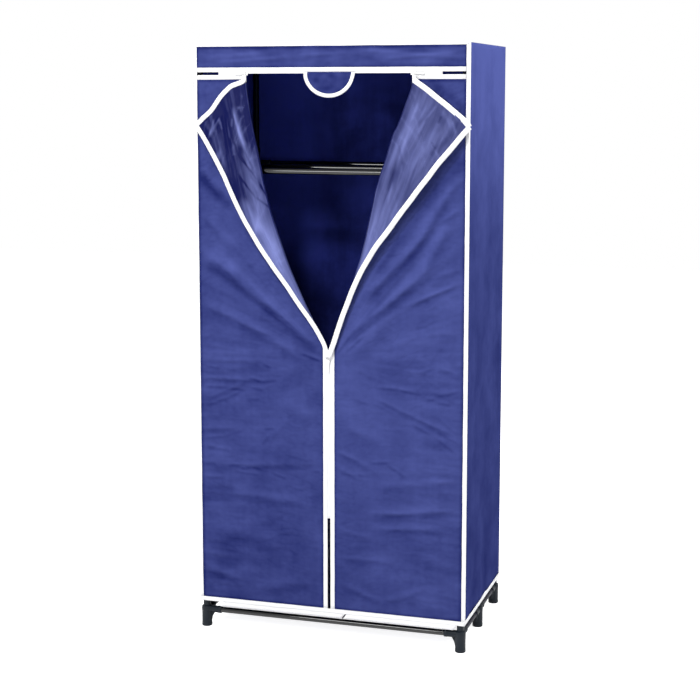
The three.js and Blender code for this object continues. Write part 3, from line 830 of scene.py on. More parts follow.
def ribbon(path, width, out, crown=0.6, wave=0.0, seed=0.0, bm=None, edge_side=1):
    """A tape along a path, facing out. edge_side says which side is the folded edge."""
    path = [Vector(p) for p in path]
    out = Vector(out).normalized()
    reach = [0.0]
    for a, b in zip(path, path[1:]):
        reach.append(reach[-1] + (b - a).length)
    last = len(path) - 1

    def place(u, v):
        i = min(last, round(u * last))
        ahead = (path[min(last, i + 1)] - path[max(0, i - 1)]).normalized()
        sideways = out.cross(ahead).normalized() * edge_side
        t = 2 * v - 1
        point = path[i] + sideways * (t * width / 2) + out * crown * (1 - t ** 4)
        point += sideways * wave * uneven(reach[i], 0, 60, seed)
        point += out * wave * 0.5 * uneven(reach[i], 5, 40, seed)
        return point, (reach[i] * MM, v)

    return skin((last, 4), place, out, bm)


def straight(start, end, step=12):
    """Points along a straight line, close enough together to be bent."""
    start, end = Vector(start), Vector(end)
    count = max(2, round((end - start).length / step))
    return [start.lerp(end, i / count) for i in range(count + 1)]


# %% [markdown]
# The piping is white tape sewn round the front edge of the cover. It turns the corner, so about
# nine millimetres show on the front and nine on the side, and the same over the roof edge.

# %% Front piping
front_y = -225.3
piping_side = 375.6
piping_width = 9
piping_rows = 150
turned_rows, turned_step = 3, 1.4
top_piping_drop = 6


def corner_piping(sign):
    """Straight up the corner, then turned in over the roof so that the top is closed."""
    def place(u, v):
        row = round(u * (piping_rows + turned_rows))
        z = hem_top + (cover_top + 0.4 - hem_top) * min(1, row / piping_rows)
        turned_in = turned_step * max(0, row - piping_rows)
        wave = 0.5 * uneven(z, 0, 70, sign + 5) * ease(1 - u, 0, 0.05)
        reach = v * 2 * (piping_width + 0.6)
        if reach < piping_width:
            x, y = piping_side - piping_width + reach - wave, front_y - 0.3 + turned_in
        else:
            x, y = piping_side - turned_in, front_y + reach - piping_width + wave
        return Vector((sign * x, y, z)), (z * MM, v)
    return place


def top_piping(u, v):
    x = (piping_side - 0.6) * (2 * u - 1)
    reach = v * (top_piping_drop + piping_width)
    wave = 0.4 * uneven(x, 0, 70, 9)
    if reach < top_piping_drop:
        y, z = front_y - 0.8, cover_top - top_piping_drop + reach + wave
    else:
        y, z = front_y - 0.5 + reach - top_piping_drop, cover_top + 1.0
    return Vector((x, y, z)), (x * MM, v)


piping_bm = bmesh.new()
for sign in (-1, 1):
    skin((piping_rows + turned_rows, 12), corner_piping(sign), (sign, -1, 0), piping_bm)
skin((60, 10), top_piping, (0, -1, 1), piping_bm)
add_tape("front_piping_tape", piping_bm, ["front_piping"])

# %% [markdown]
# The valance is the strip of cloth across the top of the front, bound along its lower edge. It
# is stretched between the two corners, so its folds lie nearly level.

# %% Valance and its binding
valance_low, valance_high = 1539, 1594
valance_seam = 1590
panel_end, tape_end = 366.5, 366
valance_folds = [
    ((-351, 1564), (-150, 1580), 7, 2.4), ((-313, 1553), (-100, 1567), 5, 1.8),
    ((-90, 1570), (70, 1578), 5, 1.4), ((74, 1584), (364, 1562), 6, 2.6),
    ((145, 1560), (355, 1577), 5, 2.0), ((120, 1551), (350, 1550), 4, 1.2),
]


def valance_place(u, v):
    x = -panel_end + 2 * panel_end * u
    z = valance_low - 3 + (valance_high + 2 - valance_low + 3) * v
    inner = ease(min(u, 1 - u), 0.0, 0.05) * ease(min(v, 1 - v), 0.0, 0.25)
    lift = 1.6 * uneven(x, z, 70, 8.8, 0.24) + 1.0 * uneven(x, z, 25, 3.3, 0.4)
    folded = sum(ridge(x, z, *fold) for fold in valance_folds)
    point = Vector((x, -half_depth - inner * (lift + folded), z))
    shade = seam_shade(min(z - valance_low, valance_seam - z, tape_end - abs(x)), 0, 6)
    # Painted light and shade: paler on the folds and bulges, darker along the seams.
    return point, (x * MM, z * MM), 0.4 + 0.12 * folded + 0.12 * lift - 0.3 * shade


valance_cloth = add_cloth("valance_cloth", skin((120, 18), valance_place, to_front), ["valance_panel"])
binding_z = valance_low - binding_width / 2
valance_line = straight((-tape_end, front_y, binding_z), (tape_end, front_y, binding_z))
valance_bm = ribbon(valance_line, binding_width, to_front, wave=0.4, seed=2.0, edge_side=-1)
add_tape("valance_binding_tape", valance_bm, ["valance_binding"])

# %% [markdown]
# Each door half is one piece of cloth whose upper inner corner is folded outwards. The fold is
# not a straight line: the weight of the loose corner pulls it into a bow. The tables give the
# distance of that soft edge from the middle line at each height, left and right, and the same
# for the free edge of the folded corner.

# %% Lines of the folded doors
vertex_z, door_top = 778, 1507.6
fold_top, free_top = 1508, 1387
fold_lean = radians(16.4)
fold_lines = {
    "left": [
        (778, 2), (831, 19), (872, 42), (911, 62), (962, 86), (1016, 110), (1074, 131), (1129, 150),
        (1171, 163), (1231, 178), (1306, 194), (1376, 209), (1451, 222), (1508, 229),
    ],
    "right": [
        (778, 2), (831, 18), (872, 34), (911, 48), (962, 66), (1020, 84), (1052, 94), (1100, 106),
        (1139, 114), (1184, 124), (1230, 134), (1304, 159), (1366, 178), (1389, 190), (1448, 213),
        (1483, 226), (1508, 231),
    ],
}
free_lines = {
    "left": [
        (778, 1), (813, 10), (842, 26), (889, 57), (939, 94), (999, 137), (1053, 177), (1111, 214),
        (1169, 246), (1227, 272), (1258, 286), (1328, 325), (1387, 366),
    ],
    "right": [
        (778, 1), (821, 18), (860, 31), (903, 47), (952, 67), (998, 88), (1050, 118), (1115, 164),
        (1183, 216), (1245, 263), (1295, 301), (1345, 344), (1387, 379),
    ],
}
top_bows = {
    "left": [
        (0, 0), (0.06, 2), (0.2, 12), (0.3, 13), (0.43, 11), (0.54, 7), (0.66, 2), (0.82, 1), (1, 0),
    ],
    "right": [
        (0, 0), (0.2, 3), (0.45, 4), (0.7, 5), (0.9, 4), (1, 0),
    ],
}
slit_half = 3.8
centre_edge = slit_half + binding_width


def door_inner(side, z):
    """Where the door half ends: at the centre binding, or at the soft edge of the fold."""
    under_binding = centre_edge - 2
    return max(under_binding, table_value(fold_lines[side], z)) if z > vertex_z else under_binding


# %% [markdown]
# The door cloth is pulled from the point of the opening out to the side edges, so the main
# creases fan out from the fold down towards the middle. They are listed as ridges, each with its
# two ends, its width and its height.

# %% Creases of the doors
door_ridges = {
    "left": [
        ((-358, 1045), (-235, 994), 20, 4.2), ((-300, 1018), (-132, 899), 19, 4.6),
        ((-190, 935), (-30, 805), 15, 4.4), ((-362, 915), (-170, 838), 15, 2.8),
        ((-230, 862), (-70, 772), 14, 2.2), ((-361, 1290), (-300, 1200), 15, 3.2),
        ((-360, 1165), (-262, 1060), 16, 2.6), ((-362, 706), (-175, 708), 7, 2.2),
        ((-356, 645), (-235, 700), 7, 1.8), ((-362, 566), (-250, 574), 9, 1.9),
        ((-349, 462), (-31, 488), 8, 1.9), ((-291, 392), (-60, 380), 12, 2.2),
        ((-362, 520), (-270, 508), 6, 1.4), ((-360, 430), (-300, 436), 6, 1.4),
        ((-368, 180), (-250, 150), 14, 3.0), ((-340, 300), (-120, 262), 26, 2.2),
        ((-220, 130), (-40, 160), 16, 1.6), ((-300, 780), (-160, 760), 22, 1.8),
        ((-140, 660), (-40, 610), 20, 1.4), ((-170, 545), (-110, 610), 8, 1.2),
    ],
    "right": [
        ((338, 1246), (232, 1072), 15, 5.0), ((262, 1110), (92, 935), 14, 4.6),
        ((330, 1150), (240, 985), 17, 4.2), ((262, 1012), (50, 835), 13, 5.0),
        ((366, 1262), (316, 1215), 9, 1.8), ((358, 1184), (306, 1146), 7, 2.0),
        ((363, 1028), (290, 1004), 7, 1.9), ((360, 990), (205, 922), 7, 2.6),
        ((180, 900), (60, 790), 18, 2.6), ((125, 678), (366, 580), 7, 2.6),
        ((141, 708), (366, 696), 7, 1.6), ((20, 528), (118, 486), 8, 2.4),
        ((22, 486), (95, 452), 7, 2.0), ((40, 600), (150, 560), 14, 1.6),
        ((128, 438), (354, 466), 13, 2.2), ((110, 362), (340, 386), 11, 3.6),
        ((122, 322), (322, 338), 10, 2.6), ((25, 308), (120, 296), 8, 1.6),
        ((25, 236), (190, 236), 10, 1.8), ((34, 162), (150, 122), 9, 2.0),
        ((146, 122), (280, 172), 10, 1.6), ((250, 250), (350, 232), 14, 1.4),
        ((300, 860), (358, 850), 9, 1.2), ((304, 1470), (350, 1424), 10, 3.4),
        ((300, 770), (364, 742), 8, 1.5),
    ],
}
crease_depth = 1.6

# %% [markdown]
# Between the ridges lie short dark lines where the cloth is nipped. They are shallower and all
# of one width, with painted shade in each and a painted highlight line above it. Painted shade
# also darkens the cloth under the lifted edge of each flap, where little light gets in.

# %% Short lines and the painted shade under the flaps
short_creases = {
    "left": [
        ((-355, 737), (-305, 729), 0.6), ((-358, 678), (-276, 680), 1.2),
        ((-282, 679), (-236, 674), 1.0), ((-224, 683), (-184, 677), 1.0),
        ((-350, 625), (-288, 650), 1.0), ((-294, 647), (-247, 672), 1.1),
        ((-230, 711), (-190, 700), 1.2), ((-195, 699), (-144, 707), 1.2),
        ((-187, 749), (-161, 739), 0.9), ((-233, 648), (-190, 653), 0.8),
        ((-359, 534), (-294, 543), 0.9), ((-300, 543), (-239, 566), 0.6),
        ((-187, 570), (-150, 574), 0.9), ((-193, 525), (-167, 557), 1.0),
        ((-356, 462), (-324, 469), 0.8), ((-292, 463), (-254, 466), 1.0),
        ((-254, 456), (-219, 463), 1.0), ((-222, 463), (-187, 457), 1.0),
        ((-274, 447), (-190, 441), 1.0), ((-159, 448), (-118, 438), 1.1),
        ((-45, 463), (-22, 463), 0.9), ((-81, 784), (-19, 764), 1.6), ((-305, 734), (-241, 721), 0.5),
    ],
    "right": [
        ((128, 701), (196, 700), 1.0), ((191, 699), (261, 687), 1.0), ((64, 668), (119, 653), 0.8),
        ((119, 661), (185, 630), 0.7), ((229, 609), (278, 585), 1.3), ((264, 676), (291, 679), 1.2),
        ((294, 671), (337, 665), 1.1), ((288, 686), (358, 703), 0.9), ((289, 597), (359, 564), 1.0),
        ((286, 581), (353, 535), 0.9), ((294, 634), (353, 588), 0.8), ((25, 521), (92, 496), 0.9),
        ((114, 497), (175, 502), 1.1), ((158, 498), (218, 462), 1.0), ((30, 462), (103, 462), 0.8),
        ((17, 780), (64, 842), 1.6), ((42, 787), (103, 843), 1.2), ((245, 747), (288, 757), 0.8),
        ((250, 792), (283, 796), 0.5),
    ],
}
short_width, short_light = 4.5, 6
under_flap_painted_shade = {
    "left": [
        ((-378, 1268), (-258, 1158), 15, 0.9), ((-262, 1150), (-120, 965), 9, 0.4),
    ],
    "right": [
        ((262, 1515), (376, 1408), 15, 1.2), ((384, 1335), (236, 1160), 20, 0.9),
        ((270, 1190), (110, 985), 15, 1.0), ((285, 1120), (40, 800), 11, 0.6),
    ],
}

# %% [markdown]
# The door's own function adds all of these up, with three kinds of noise: one that fans out
# from the point of the opening, one drawn out sideways below it, and a fine one for the
# crumpled look of thin cloth. Light and shade are painted into its tone as if lit from above: a
# crease's tone is its own height less that of the cloth a fold's width higher up, the noise
# makes it paler where it lifts, and the tone is darker towards the hem, along the seams and
# under the flaps.

# %% Door halves
door_tone = {"left": 0.48, "right": 0.6}


def short_lines(side, x, z):
    return sum(ridge(x, z, start, end, short_width, deep) for start, end, deep in short_creases[side])


def door_place(side):
    sign = side_sign[side]

    def place(u, v):
        z = hem_top - 2 + (door_top + 2 - hem_top + 2) * v
        inner = door_inner(side, z)
        x = sign * (inner + (panel_end - inner) * u)
        edge = min(abs(x) - inner, panel_end - abs(x))
        held = ease(edge, 0, 34) * ease(min(z - hem_top, door_top - z), 0, 30)
        folded = sum(ridge(x, z, *fold) for fold in door_ridges[side])
        below = sum(ridge(x, z + fold[2], *fold) for fold in door_ridges[side])
        short, short_painted_highlight = short_lines(side, x, z), short_lines(side, x, z - short_light)
        from_point = hypot(x, z - vertex_z)
        heading = atan2(abs(x), z - vertex_z)
        fan = noise.noise(Vector((11 * heading, from_point / 240, 3.7 + sign)))
        fan += 0.6 * noise.noise(Vector((27 * heading, from_point / 120, 8.1 + sign)))
        fan *= 2.8 * ease(from_point, 40, 160) * (1 - ease(from_point, 420, 620)) * ease(z, 640, 800)
        drawn = uneven(x + 0.25 * sign * z, z, 85, 6.6 + sign, 0.15)
        drawn *= (1 - ease(z, 760, 940)) * (0.35 + ease(abs(x), 60, 340))
        fine = uneven(x, z, 15, 9.1 + sign, 0.5)
        tilt = 0.5 * sign * (x * sign - 180) * ease(z, 640, 860)
        lines = crinkle(x, z - tilt, 70, 4.7 + sign, 0.3)
        lines += 0.7 * crinkle(x, z - 0.7 * tilt, 34, 7.9 + sign, 0.35)
        lift = crease_depth * folded + fan + 2.2 * drawn + 2.4 * uneven(x, z, 95, 11.3 + sign, 0.6)
        lift += 1.6 * uneven(x, z, 40, 5.2 + sign, 0.4) + 0.7 * fine - 1.3 * lines - 0.9 * short
        lift = held * max(lift, 0.1 * lift - 0.5)
        # Painted light and shade: crease relief, paler where the cloth lifts, a darker hem, short lines
        # with painted highlights above, seam shade and the shade under the flaps.
        tone = door_tone[side] + 0.085 * (folded - below) + 0.07 * uneven(x, z, 60, 1.1 + sign, 0.6)
        tone += 0.05 * fan + 0.11 * drawn + 0.07 * fine - 0.14 * (1 - ease(z, 150, 700))
        tone -= 0.1 * lines + 0.2 * short - 0.1 * short_painted_highlight
        tone -= 0.34 * seam_shade(min(edge, z - hem_top, door_top - 1 - z))
        tone -= 0.34 * sum(ridge(x, z, *line) for line in under_flap_painted_shade[side])
        return Vector((x, -half_depth - lift, z)), (x * MM, z * MM), tone
    return place


for side in side_sign:
    door = add_cloth(f"door_cloth_{side}", skin((70, 440), door_place(side), to_front), [f"door_{side}"])

# %% [markdown]
# A door half is bound along its top, from the side to where the fold starts, and along the
# centre line, from the hem up to where the fold has left it.

# %% Door bindings
centre_tape_top = 800
door_binding_z = door_top + binding_width / 2
for side, sign in side_sign.items():
    inner_end = sign * table_value(fold_lines[side], fold_top)
    top_line = straight((sign * tape_end, front_y, door_binding_z), (inner_end, front_y, door_binding_z))
    add_tape(f"door_top_tape_{side}",
             ribbon(top_line, binding_width, to_front, wave=0.3, seed=sign, edge_side=sign),
             [f"door_top_binding_{side}"])
    middle = sign * (slit_half + binding_width / 2)
    centre_line = straight((middle, front_y, hem_top), (middle, front_y, centre_tape_top))
    add_tape(f"centre_tape_{side}",
             ribbon(centre_line, binding_width, to_front, wave=0.3, seed=sign + 3, edge_side=-sign),
             [f"centre_binding_{side}"])

# %% [markdown]
# The zips are a pair of white tapes with a moulded coil between them. The coil is a row of
# small bars, each a cube with a few dozen faces at most, set at the real spacing. The cross zip
# is closed only at its two ends, outside the folded corners.

# %% Zips
tooth_pitch, tooth_share, tooth_high = 2.4, 0.55, 1.0
zip_y = -225.0
coil_y = zip_y - 0.15
zip_wall, zip_crown = 0.4, 0.1
centre_zip_low, centre_zip_width = 338, 8
coil_low, coil_high, centre_tooth = 340, 770, 3.4
cross_end, cross_width, cross_tooth = 305, 3.8, 2.6
cross_z = 1523.3
cross_tape_step = 1.9


def coil(bm, start, end, across, wide):
    """Small bars set along a line at the pitch of a zip."""
    start, end = Vector(start), Vector(end)
    ahead = (end - start).normalized()
    turn = Matrix((Vector(across), Vector(to_front), ahead)).transposed().to_4x4()
    shape = Matrix.Diagonal((wide, tooth_high, tooth_pitch * tooth_share, 1))
    reach = 0.0
    while reach < (end - start).length:
        stand = Matrix.Translation(start + ahead * reach) @ turn
        bmesh.ops.create_cube(bm, size=1, matrix=stand @ shape)
        reach += tooth_pitch


centre_zip_line = straight((0, zip_y, centre_zip_low), (0, zip_y, vertex_z))
centre_zip_bm = ribbon(centre_zip_line, centre_zip_width, to_front, zip_crown)
add_tape("centre_zip_tape", centre_zip_bm, ["centre_zip"], "root", zip_tape, zip_wall)
coil_bm = bmesh.new()
coil(coil_bm, (0, coil_y, coil_low), (0, coil_y, coil_high), (1, 0, 0), centre_tooth)
add_piece(coil_bm, "centre_zip_coil", zip_tape)

upper_z, lower_z = cross_z + cross_tape_step, cross_z - cross_tape_step
upper_line = straight((-cross_end, zip_y, upper_z), (cross_end, zip_y, upper_z))
cross_bm = ribbon(upper_line, cross_width, to_front, zip_crown)
cross_coil_bm = bmesh.new()
for side, sign in side_sign.items():
    start, end = sign * (table_value(fold_lines[side], fold_top) + 2), sign * cross_end
    lower_line = straight((start, zip_y, lower_z), (end, zip_y, lower_z))
    ribbon(lower_line, cross_width, to_front, zip_crown, bm=cross_bm)
    coil(cross_coil_bm, (start, coil_y, cross_z), (end, coil_y, cross_z), (0, 0, 1), cross_tooth)
add_tape("cross_zip_tape", cross_bm, ["cross_zip"], "root", zip_tape, zip_wall)
add_piece(cross_coil_bm, "cross_zip_coil", zip_tape)

# %% [markdown]
# A folded corner is the back of the same cloth, turned to the front. It is a three-sided sheet
# between the fold and the free edge, so its grid runs from one line to the other and narrows to
# the point of the opening. Its top edge is bowed too.

# %% Outline of the flaps
flap_y = -233.0
flap_top_z = 1506
flap_length = 0.76  # metres, for the flat coordinates


def fold_point(side, v):
    z = vertex_z + v * (flap_top_z - vertex_z)
    return Vector((side_sign[side] * table_value(fold_lines[side], z), 0, z))


def free_point(side, v):
    z = vertex_z + v * (free_top - vertex_z)
    return Vector((side_sign[side] * table_value(free_lines[side], z), 0, z))


def flap_wide(side, v):
    return (free_point(side, v) - fold_point(side, v)).length


def top_bow(side, u, v):
    """The bow of the top edge, which dies out quickly below it."""
    chord = free_point(side, 1) - fold_point(side, 1)
    rise = Vector((-chord.z, 0, chord.x)).normalized()
    if rise.z < 0:
        rise = -rise
    return rise * table_value(top_bows[side], u) * v ** 8


def flap_point(side, u, v):
    return fold_point(side, v).lerp(free_point(side, v), u) + top_bow(side, u, v)


# %% [markdown]
# The flap's long soft streaks follow the fold. Its ridges lift it, its short lines are painted
# highlights and shade that only change its tone, and the stand-off tables say how far its free
# edge hangs clear of the door at each height.

# %% Creases of the flaps
flap_ridges = {
    "left": [
        ((-262, 1440), (-236, 1350), 6, 5.0), ((-241, 1368), (-190, 1235), 7, 5.5),
        ((-295, 1412), (-330, 1352), 4, 4.0), ((-281, 1410), (-268, 1345), 4, 4.0),
        ((-216, 1420), (-184, 1300), 9, 3.0), ((-236, 1328), (-165, 1196), 6, -4.0),
        ((-229, 1200), (-183, 1095), 14, 4.5), ((-200, 1150), (-100, 985), 12, 3.5),
        ((-290, 1437), (-262, 1250), 8, -4.0), ((-140, 1060), (-60, 920), 6, -2.5),
    ],
    "right": [
        ((282, 1462), (184, 1285), 8, 4.5), ((254, 1470), (150, 1250), 9, 4.0),
        ((262, 1421), (205, 1320), 6, -4.0), ((306, 1432), (337, 1379), 6, 2.8),
        ((328, 1438), (356, 1396), 5, 2.6), ((184, 1251), (112, 1090), 10, 3.4),
        ((201, 1328), (108, 1059), 7, -3.0), ((300, 1390), (215, 1260), 9, 2.8),
        ((330, 1362), (262, 1300), 8, -2.6),
    ],
}
flap_painted_lines = {
    "left": [
        ((-267, 1362), (-239, 1303), 3, -0.2), ((-245, 1312), (-190, 1239), 3, -0.3),
        ((-196, 1247), (-157, 1183), 3, -0.3), ((-245, 1257), (-197, 1196), 3, -0.22),
        ((-200, 1200), (-153, 1167), 3, -0.2), ((-233, 1320), (-208, 1266), 4, 0.25),
        ((-208, 1266), (-182, 1226), 4, 0.25), ((-313, 1408), (-326, 1359), 3, 0.3),
        ((-300, 1408), (-290, 1373), 3, 0.25), ((-257, 1421), (-249, 1384), 3, 0.3),
        ((-249, 1388), (-224, 1330), 5, 0.3), ((-252, 1434), (-228, 1435), 3, 0.15),
        ((-263, 1408), (-266, 1381), 3, 0.25), ((-222, 1290), (-208, 1256), 3, 0.15),
        ((-214, 1250), (-191, 1213), 4, 0.15),
    ],
    "right": [
        ((246, 1452), (225, 1397), 4, 0.22), ((225, 1397), (201, 1321), 4, 0.16),
        ((294, 1444), (264, 1406), 3, 0.22), ((264, 1406), (243, 1368), 4, 0.2),
        ((333, 1406), (345, 1368), 3, 0.22), ((276, 1351), (303, 1310), 3, 0.16),
        ((179, 1251), (166, 1186), 3, 0.14), ((208, 1302), (187, 1225), 3, 0.12),
        ((279, 1351), (292, 1328), 3, -0.2), ((307, 1417), (297, 1394), 4, -0.2),
        ((189, 1366), (208, 1277), 4, -0.12),
    ],
}
edge_stand_off = {
    "left": [
        (0, 0), (0.3, 4), (0.6, 8), (0.78, 13), (0.92, 9), (1, 4),
    ],
    "right": [
        (0, 0), (0.2, 5), (0.45, 12), (0.7, 19), (0.88, 15), (1, 6),
    ],
}


# %% [markdown]
# The lift is the sum of the ridges, three sizes of noise and a roundness along the fold. It
# dies out towards the point of the opening, where the flap is only a few centimetres wide.


# %% Lift of the flaps
def flap_lift(side, u, v):
    """How far the flap stands off its plane, towards the viewer, and how much of that is creases."""
    held = ease(flap_wide(side, v), 10, 70)
    point, sign = flap_point(side, u, v), side_sign[side]
    creases = sum(ridge(point.x, point.z, *fold) for fold in flap_ridges[side])
    creases += 1.6 * noise.noise(Vector((u * 5.2, v * 3.7, sign * 3.3)))
    creases += 1.0 * noise.noise(Vector((u * 12, v * 11, sign * 6.1)))
    corner = ease(u, 0.45, 0.8) * ease(v, 0.55, 0.8)
    creases += 2.2 * corner * noise.noise(Vector((u * 15 + v * 12, v * 9, sign * 2.9)))
    creases *= ease(u, 0, 0.14) * (1 - 0.55 * ease(u, 0.82, 1)) * held
    roll = 2.0 * sin(pi * min(1, u * 1.8)) * held
    stand_off = table_value(edge_stand_off[side], v) * ease(u, 0.1, 1.0)
    return roll + stand_off + creases, creases


# %% [markdown]
# The flap's sheet stops a little short of its free edge, under the binding. Light is painted into
# its tone: paler where the light falls on it and on its crests, darker near the fold, and its thin
# bright lines are painted highlights of creased cloth that shines.

# %% Cloth of the flaps
under_tape = 4.5
flap_painted_brightness = {"left": 0.0, "right": 0.32}
flap_painted_crease_light = {"left": 0.075, "right": 0.055}
lit_tone = 0.68


def flap_place(side):
    pale, streaks = flap_painted_brightness[side], flap_painted_crease_light[side]

    def place(u, v):
        v = 0.02 + 0.974 * v
        wide = flap_wide(side, v)
        u *= 1 - under_tape / max(40, wide)
        point = flap_point(side, u, v)
        lift, creases = flap_lift(side, u, v)
        point.y = flap_y - lift
        lit = ease(1 - v, 0.3, 0.6)
        if side == "left":
            lit = max(lit, 0.6 * ease(1 - v, 0.16, 0.34) * (1 - ease(u, 0.35, 0.75)))
        painted_low_light = (lit_tone - pale) * lit
        painted_fold_shade = (1 - ease(u * wide, 2, 20)) * 0.13
        x, z = abs(point.x), point.z
        shine = crinkle(x + 0.42 * z, 0.3 * z, 24, 5.5, 1.0)
        shine += 0.8 * crinkle(x + 0.25 * z, 0.35 * z, 13, 2.5, 1.0)
        # Painted light: a lit share, painted shade near the fold, paler crests, painted highlight lines.
        tone = pale + painted_low_light - painted_fold_shade + streaks * creases + (0.2 - 0.25 * pale) * shine
        tone += sum(ridge(point.x, point.z, *line) for line in flap_painted_lines[side])
        return point, (u * wide * MM, v * flap_length), max(0.0, tone)
    return place


# %% [markdown]
# Round the fold the cloth makes a soft roll, half a tube that is thin at the slider and full
# further up. It stays on the door.

# %% Roll of the fold
def roll_front(v):
    """The front of the soft roll. It is thin at the slider and full from there up."""
    return flap_y + 6.6 * (1 - ease(v, 0.02, 0.14))


def roll_place(side):
    """The soft roll where the door cloth turns to the front."""
    sign = side_sign[side]

    def place(u, v):
        along = 0.005 + 0.995 * v
        point = fold_point(side, along)
        angle = -pi / 2 + pi * u
        radius = (-half_depth - roll_front(along)) / 2
        point.x -= sign * radius * cos(angle) * 0.9
        point.y = (-half_depth + roll_front(along)) / 2 - radius * sin(angle)
        # Painted shade: the roll's tone is dark, a little paler towards the slider.
        return point, (u * radius * 3 * MM, v * flap_length), 0.1 + 0.3 * ease(1 - v, 0.4, 0.8)
    return place


# %% [markdown]
# The tape goes round the fold in three stretches: flat on the door behind, half a turn, and
# flat on the flap in front, where it tucks under the flap's own binding.

# %% Tape round the fold
back_layer, front_layer = -225.6, flap_y - 1.4
tape_roll_radius = (back_layer - front_layer) / 2
tape_back_reach, tape_front_reach = 5, 11
tape_back_share, tape_front_share = 0.15, 0.4
roll_tape_low, roll_tape_high = 1501, 1519.4
roll_tape_length = 0.03  # metres, for the flat coordinates


def fold_top_place(side):
    """The tape on the top edge goes round the fold with the cloth: back layer, roll, front layer."""
    sign = side_sign[side]
    start = table_value(fold_lines[side], fold_top)

    def place(u, v):
        turn_share = 1 - tape_back_share - tape_front_share
        angle = pi * min(1, max(0, (u - tape_back_share) / turn_share)) - pi / 2
        behind = tape_back_reach * max(0, 1 - u / tape_back_share)
        ahead = tape_front_reach * max(0, 1 - (1 - u) / tape_front_share)
        x = start + behind - tape_roll_radius * cos(angle) + ahead
        y = (back_layer + front_layer) / 2 - tape_roll_radius * sin(angle)
        y += 1.9 * tape_roll_radius * ease(u, 0.7, 1)
        low = roll_tape_low + 5 * ease(u, 0.6, 1)
        return Vector((sign * x, y, low + (roll_tape_high - low) * v)), (u * roll_tape_length, v)
    return place


# %% [markdown]
# The flap and its edging ride the flap's own body, and the roll and its tape stay on the door.

# %% Flaps, rolls and their edgings
edging_width = {"left": 12.6, "right": 14.2}
edging_y = flap_y - 0.9
free_steps, top_steps = 90, 30


def edging_point(side, u, v):
    return flap_point(side, u, v) + Vector((0, edging_y - flap_lift(side, u, v)[0], 0))


for side, sign in side_sign.items():
    body, joint = f"flap_{side}", f"flap_{side}_fold"
    flap = add_cloth(f"flap_cloth_{side}", skin((56, 230), flap_place(side), to_front), [body],
                     body=body, finish=navy_inside, back=navy_turned)
    roll = add_cloth(f"fold_roll_{side}", skin((8, 120), roll_place(side), (-sign, 0, 0)),
                     finish=navy_inside, back=navy_turned)
    roll_tape = add_tape(f"fold_top_tape_{side}", skin((24, 5), fold_top_place(side), (-sign, 0, 0)))
    rims = bmesh.new()
    free_path = [edging_point(side, 1, i / free_steps) for i in range(free_steps + 1)]
    top_path = [edging_point(side, i / top_steps, 1) for i in range(top_steps + 1)]
    ribbon(free_path, edging_width[side], to_front, 0.7, 1.6, sign, rims)
    ribbon(top_path, edging_width[side], to_front, 0.7, 0.6, sign + 1, rims)
    edging = add_tape(f"flap_edging_{side}", rims, body=body)
    for piece in (flap, edging):
        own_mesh(piece)
    for piece in (roll, roll_tape):
        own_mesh(piece)

# %% [markdown]
# Where the corner is folded, the fold edge has bowed away from the straight line that the flap
# turns about, so some cloth lies round the bend. When the flap closes, that cloth unrolls and
# fills the place between the door half and the flap. Here it is a narrow sheet kept behind the
# door cloth.

# %% Sizes of the spare cloth
spare_y = -223.3
spare_lap = 9
spare_tape_inner, spare_tape_length = 186, 52
spare_tape_low, spare_tape_high = 1502, 1519
slide_anchor = 3000
slide_reach = {"left": 106, "right": 58}
fold_vertex = Vector((0, 0, vertex_z))
print("the spare cloth slides", slide_reach, "mm")

# %% [markdown]
# Sliding is a flattening towards a far point: over three metres, a few per cent is the width
# of the strip. So each point is worked out where it should be when the flap is closed, and
# then moved back along the slide to where it is kept.


# %% Shape of the spare cloth
def lean_lines(side):
    """The directions along the line that the flap turns about, and out across it."""
    across, rise = side_sign[side] * sin(fold_lean), cos(fold_lean)
    return Vector((across, 0, rise)), Vector((side_sign[side] * rise, 0, -sin(fold_lean)))


def spare_keep(side):
    return 1 / (1 + slide_reach[side] / slide_anchor)


def stored(side, closed):
    """Where a point of the closed shape is kept at rest."""
    along, outward = lean_lines(side)
    offset = closed - fold_vertex
    reach = (slide_anchor + offset.dot(outward)) / spare_keep(side) - slide_anchor
    point = fold_vertex + along * offset.dot(along) + outward * reach
    point.y = spare_y
    return point


def spare_place(side):
    """From past the flap's edge to past the door's, moved back behind the door."""
    outward = lean_lines(side)[1]

    def place(u, v):
        edge = fold_point(side, 0.015 + 0.975 * v)
        bow = (edge - fold_vertex).dot(outward)
        lap = spare_lap * ease(v, 0, 0.1) + 1
        across = 2 * (bow + lap) * u
        closed = edge + outward * (across - 2 * bow - lap)
        return stored(side, closed), (across * MM, v * flap_length), 0.5
    return place


def spare_tape_place(side):
    """The white tape along its top, in line with the door's."""
    def place(u, v):
        x = side_sign[side] * (spare_tape_inner + spare_tape_length * u)
        closed = Vector((x, 0, spare_tape_low + (spare_tape_high - spare_tape_low) * v))
        return stored(side, closed), (u * spare_tape_length * MM, v)
    return place


# %% [markdown]
# The strip and its tape stay on the door's body.

# %% Spare cloth
for side in side_sign:
    spare = add_cloth(f"fold_spare_cloth_{side}", skin((12, 120), spare_place(side), to_front))
    spare_tape = add_tape(f"fold_spare_tape_{side}", skin((10, 4), spare_tape_place(side), to_front))
    for piece in (spare, spare_tape):
        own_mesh(piece)

# %% [markdown]
# The tab is a half round of the same cloth with a bound edge. It hangs over the middle of the
# cross zip from its straight top edge.

# %% Tab
tab_half, tab_drop, tab_top = 70, 66, 1526.7
tab_y = -226.4
tab_middle = 3.5
tab_cloth_inset, tab_rim_inset = 8, 5
tab_rim_width, tab_rim_steps = 10, 40
hang_depth, hang_ease = 4.4, 14


